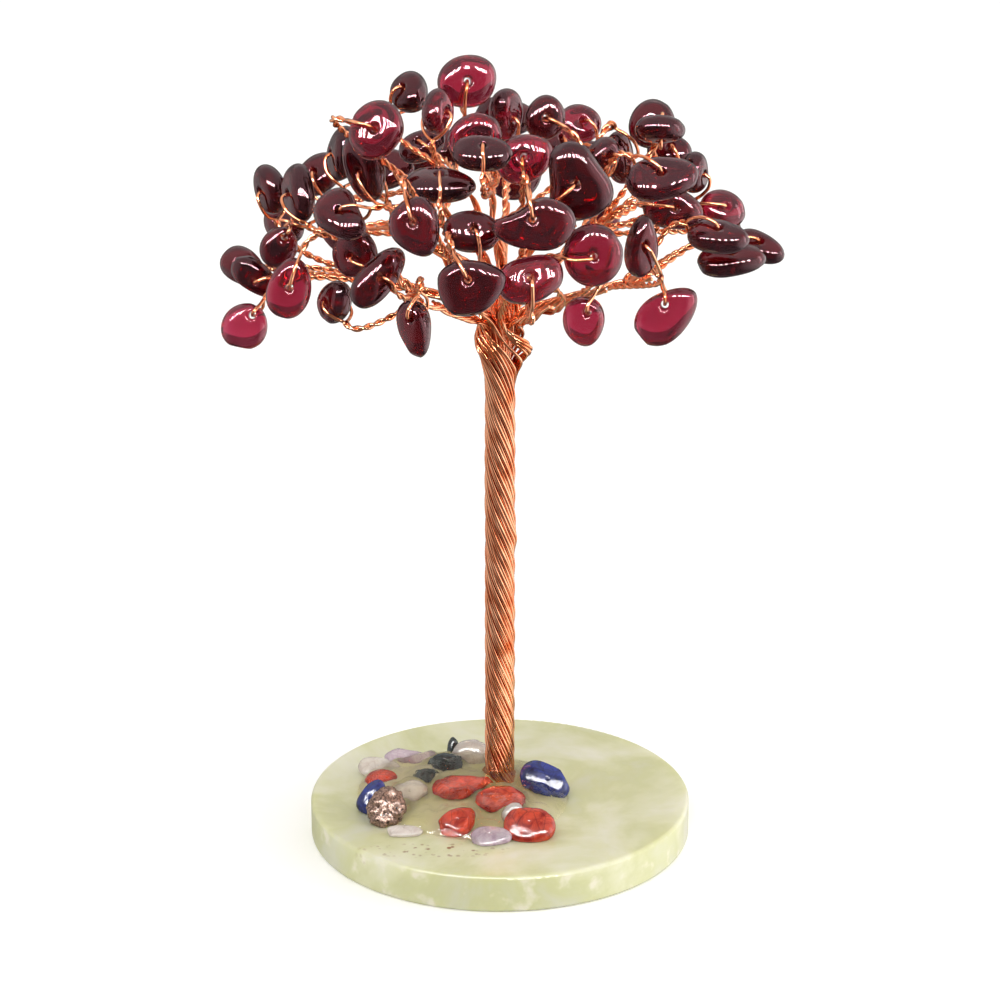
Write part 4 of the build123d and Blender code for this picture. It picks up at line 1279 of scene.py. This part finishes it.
# Room round the paper, by the direction that a ray leaves in
def surroundLight():
    world = bpy.data.worlds.new("paperSurround")
    world.use_nodes = True
    tree = world.node_tree
    tree.nodes.clear()
    toward = addNode(tree, "ShaderNodeTexCoord").outputs["Generated"]
    parts = addNode(tree, "ShaderNodeSeparateXYZ", inputs={0: toward})
    level = studio["roomLight"]
    for axis, low, high, name in roomSides:
        share = addNode(
            tree, "ShaderNodeMapRange", inputs=(parts.outputs[axis], low, high),
        ).outputs["Result"]
        level = addNode(
            tree, "ShaderNodeMix", {"data_type": "FLOAT"}, {0: share, 2: level, 3: studio[name]},
        ).outputs[0]
    light = addNode(tree, "ShaderNodeBackground", inputs={
        "Color": linearColour("#fffdfb"), "Strength": level,
    })
    addNode(tree, "ShaderNodeOutputWorld", inputs={"Surface": light.outputs[0]})
    bpy.context.scene.world = world


def setStudio():
    scene = bpy.context.scene
    scene.view_settings.view_transform = "Standard"
    surroundLight()
    bpy.ops.mesh.primitive_plane_add(size=studio["floorSize"], location=(0, 0, 0))
    floor = bpy.context.object
    floor.name = "studio_floor"
    material, tree = newMaterial("matteWhitePaper")
    surface = addNode(tree, "ShaderNodeBsdfPrincipled", inputs={
        "Base Color": linearColour("#fbfbfa"), "Roughness": 0.8,
        "Emission Color": linearColour("#ffffff"), "Emission Strength": studio["floorGlow"],
    }).outputs[0]
    addNode(tree, "ShaderNodeOutputMaterial", inputs={"Surface": surface})
    floor.data.materials.append(material)
    floor.visible_glossy = False  # the polished wires and stones mirror the room, not an endless white sheet
    floor.visible_transmission = False  # and through the garnets only the lit ring of paper shows
    glowing, tree = newMaterial("litPaper")
    glow = addNode(tree, "ShaderNodeEmission", inputs={
        "Color": linearColour("#ffffff"), "Strength": studio["paperLight"],
    }).outputs[0]
    addNode(tree, "ShaderNodeOutputMaterial", inputs={"Surface": glow})
    inner, outer = studio["paperRing"]
    count = studio["paperSteps"]
    turns = [2 * math.pi * step / count for step in range(count)]
    rims = [
        Vector((math.cos(turn) * reach, math.sin(turn) * reach, studio["paperRise"]))
        for reach in (inner, outer) for turn in turns
    ]
    faces = [(n, count + n, count + (n + 1) % count, (n + 1) % count) for n in range(count)]
    ring = meshPiece("lit_paper", rims, faces, [glowing])
    ring.visible_camera = ring.visible_diffuse = ring.visible_glossy = ring.visible_shadow = False
    areaLight("rightSoftbox", (0.50, -0.10, 0.20), (0, 0, 0.07), (0.10, 0.40), studio["sidePower"])
    front = areaLight("frontSoftbox", (-0.15, -0.35, 0.45), (0, 0, 0.05), (0.25, 0.25), studio["keyPower"])
    front.visible_glossy = False
    middle = Vector(studio["barAt"])
    for number in range(studio["barLamps"]):
        across = (number - (studio["barLamps"] - 1) / 2) * studio["barStep"]
        place = (middle + Vector((across, 0, 0))) * mm
        lamp = areaLight("barLamp%d" % number, place, (0, 0, 0.08), studio["lampSize"], studio["barPower"])
        lamp.visible_diffuse = lamp.visible_transmission = False
    camera = bpy.data.cameras.new("photoCamera")
    camera.sensor_width = studio["sensorWidth"]
    camera.lens = studio["focalPixels"] * studio["sensorWidth"] / studio["photoPixels"]
    camera.clip_start = 0.01
    holder = newObject("photoCamera", camera)
    holder.location = (0, -studio["cameraAway"] * mm, studio["cameraHeight"] * mm)
    holder.rotation_euler = (math.radians(90 - studio["cameraPitch"]), 0, 0)
    scene.camera = holder


setStudio()
print("stage: studio set")
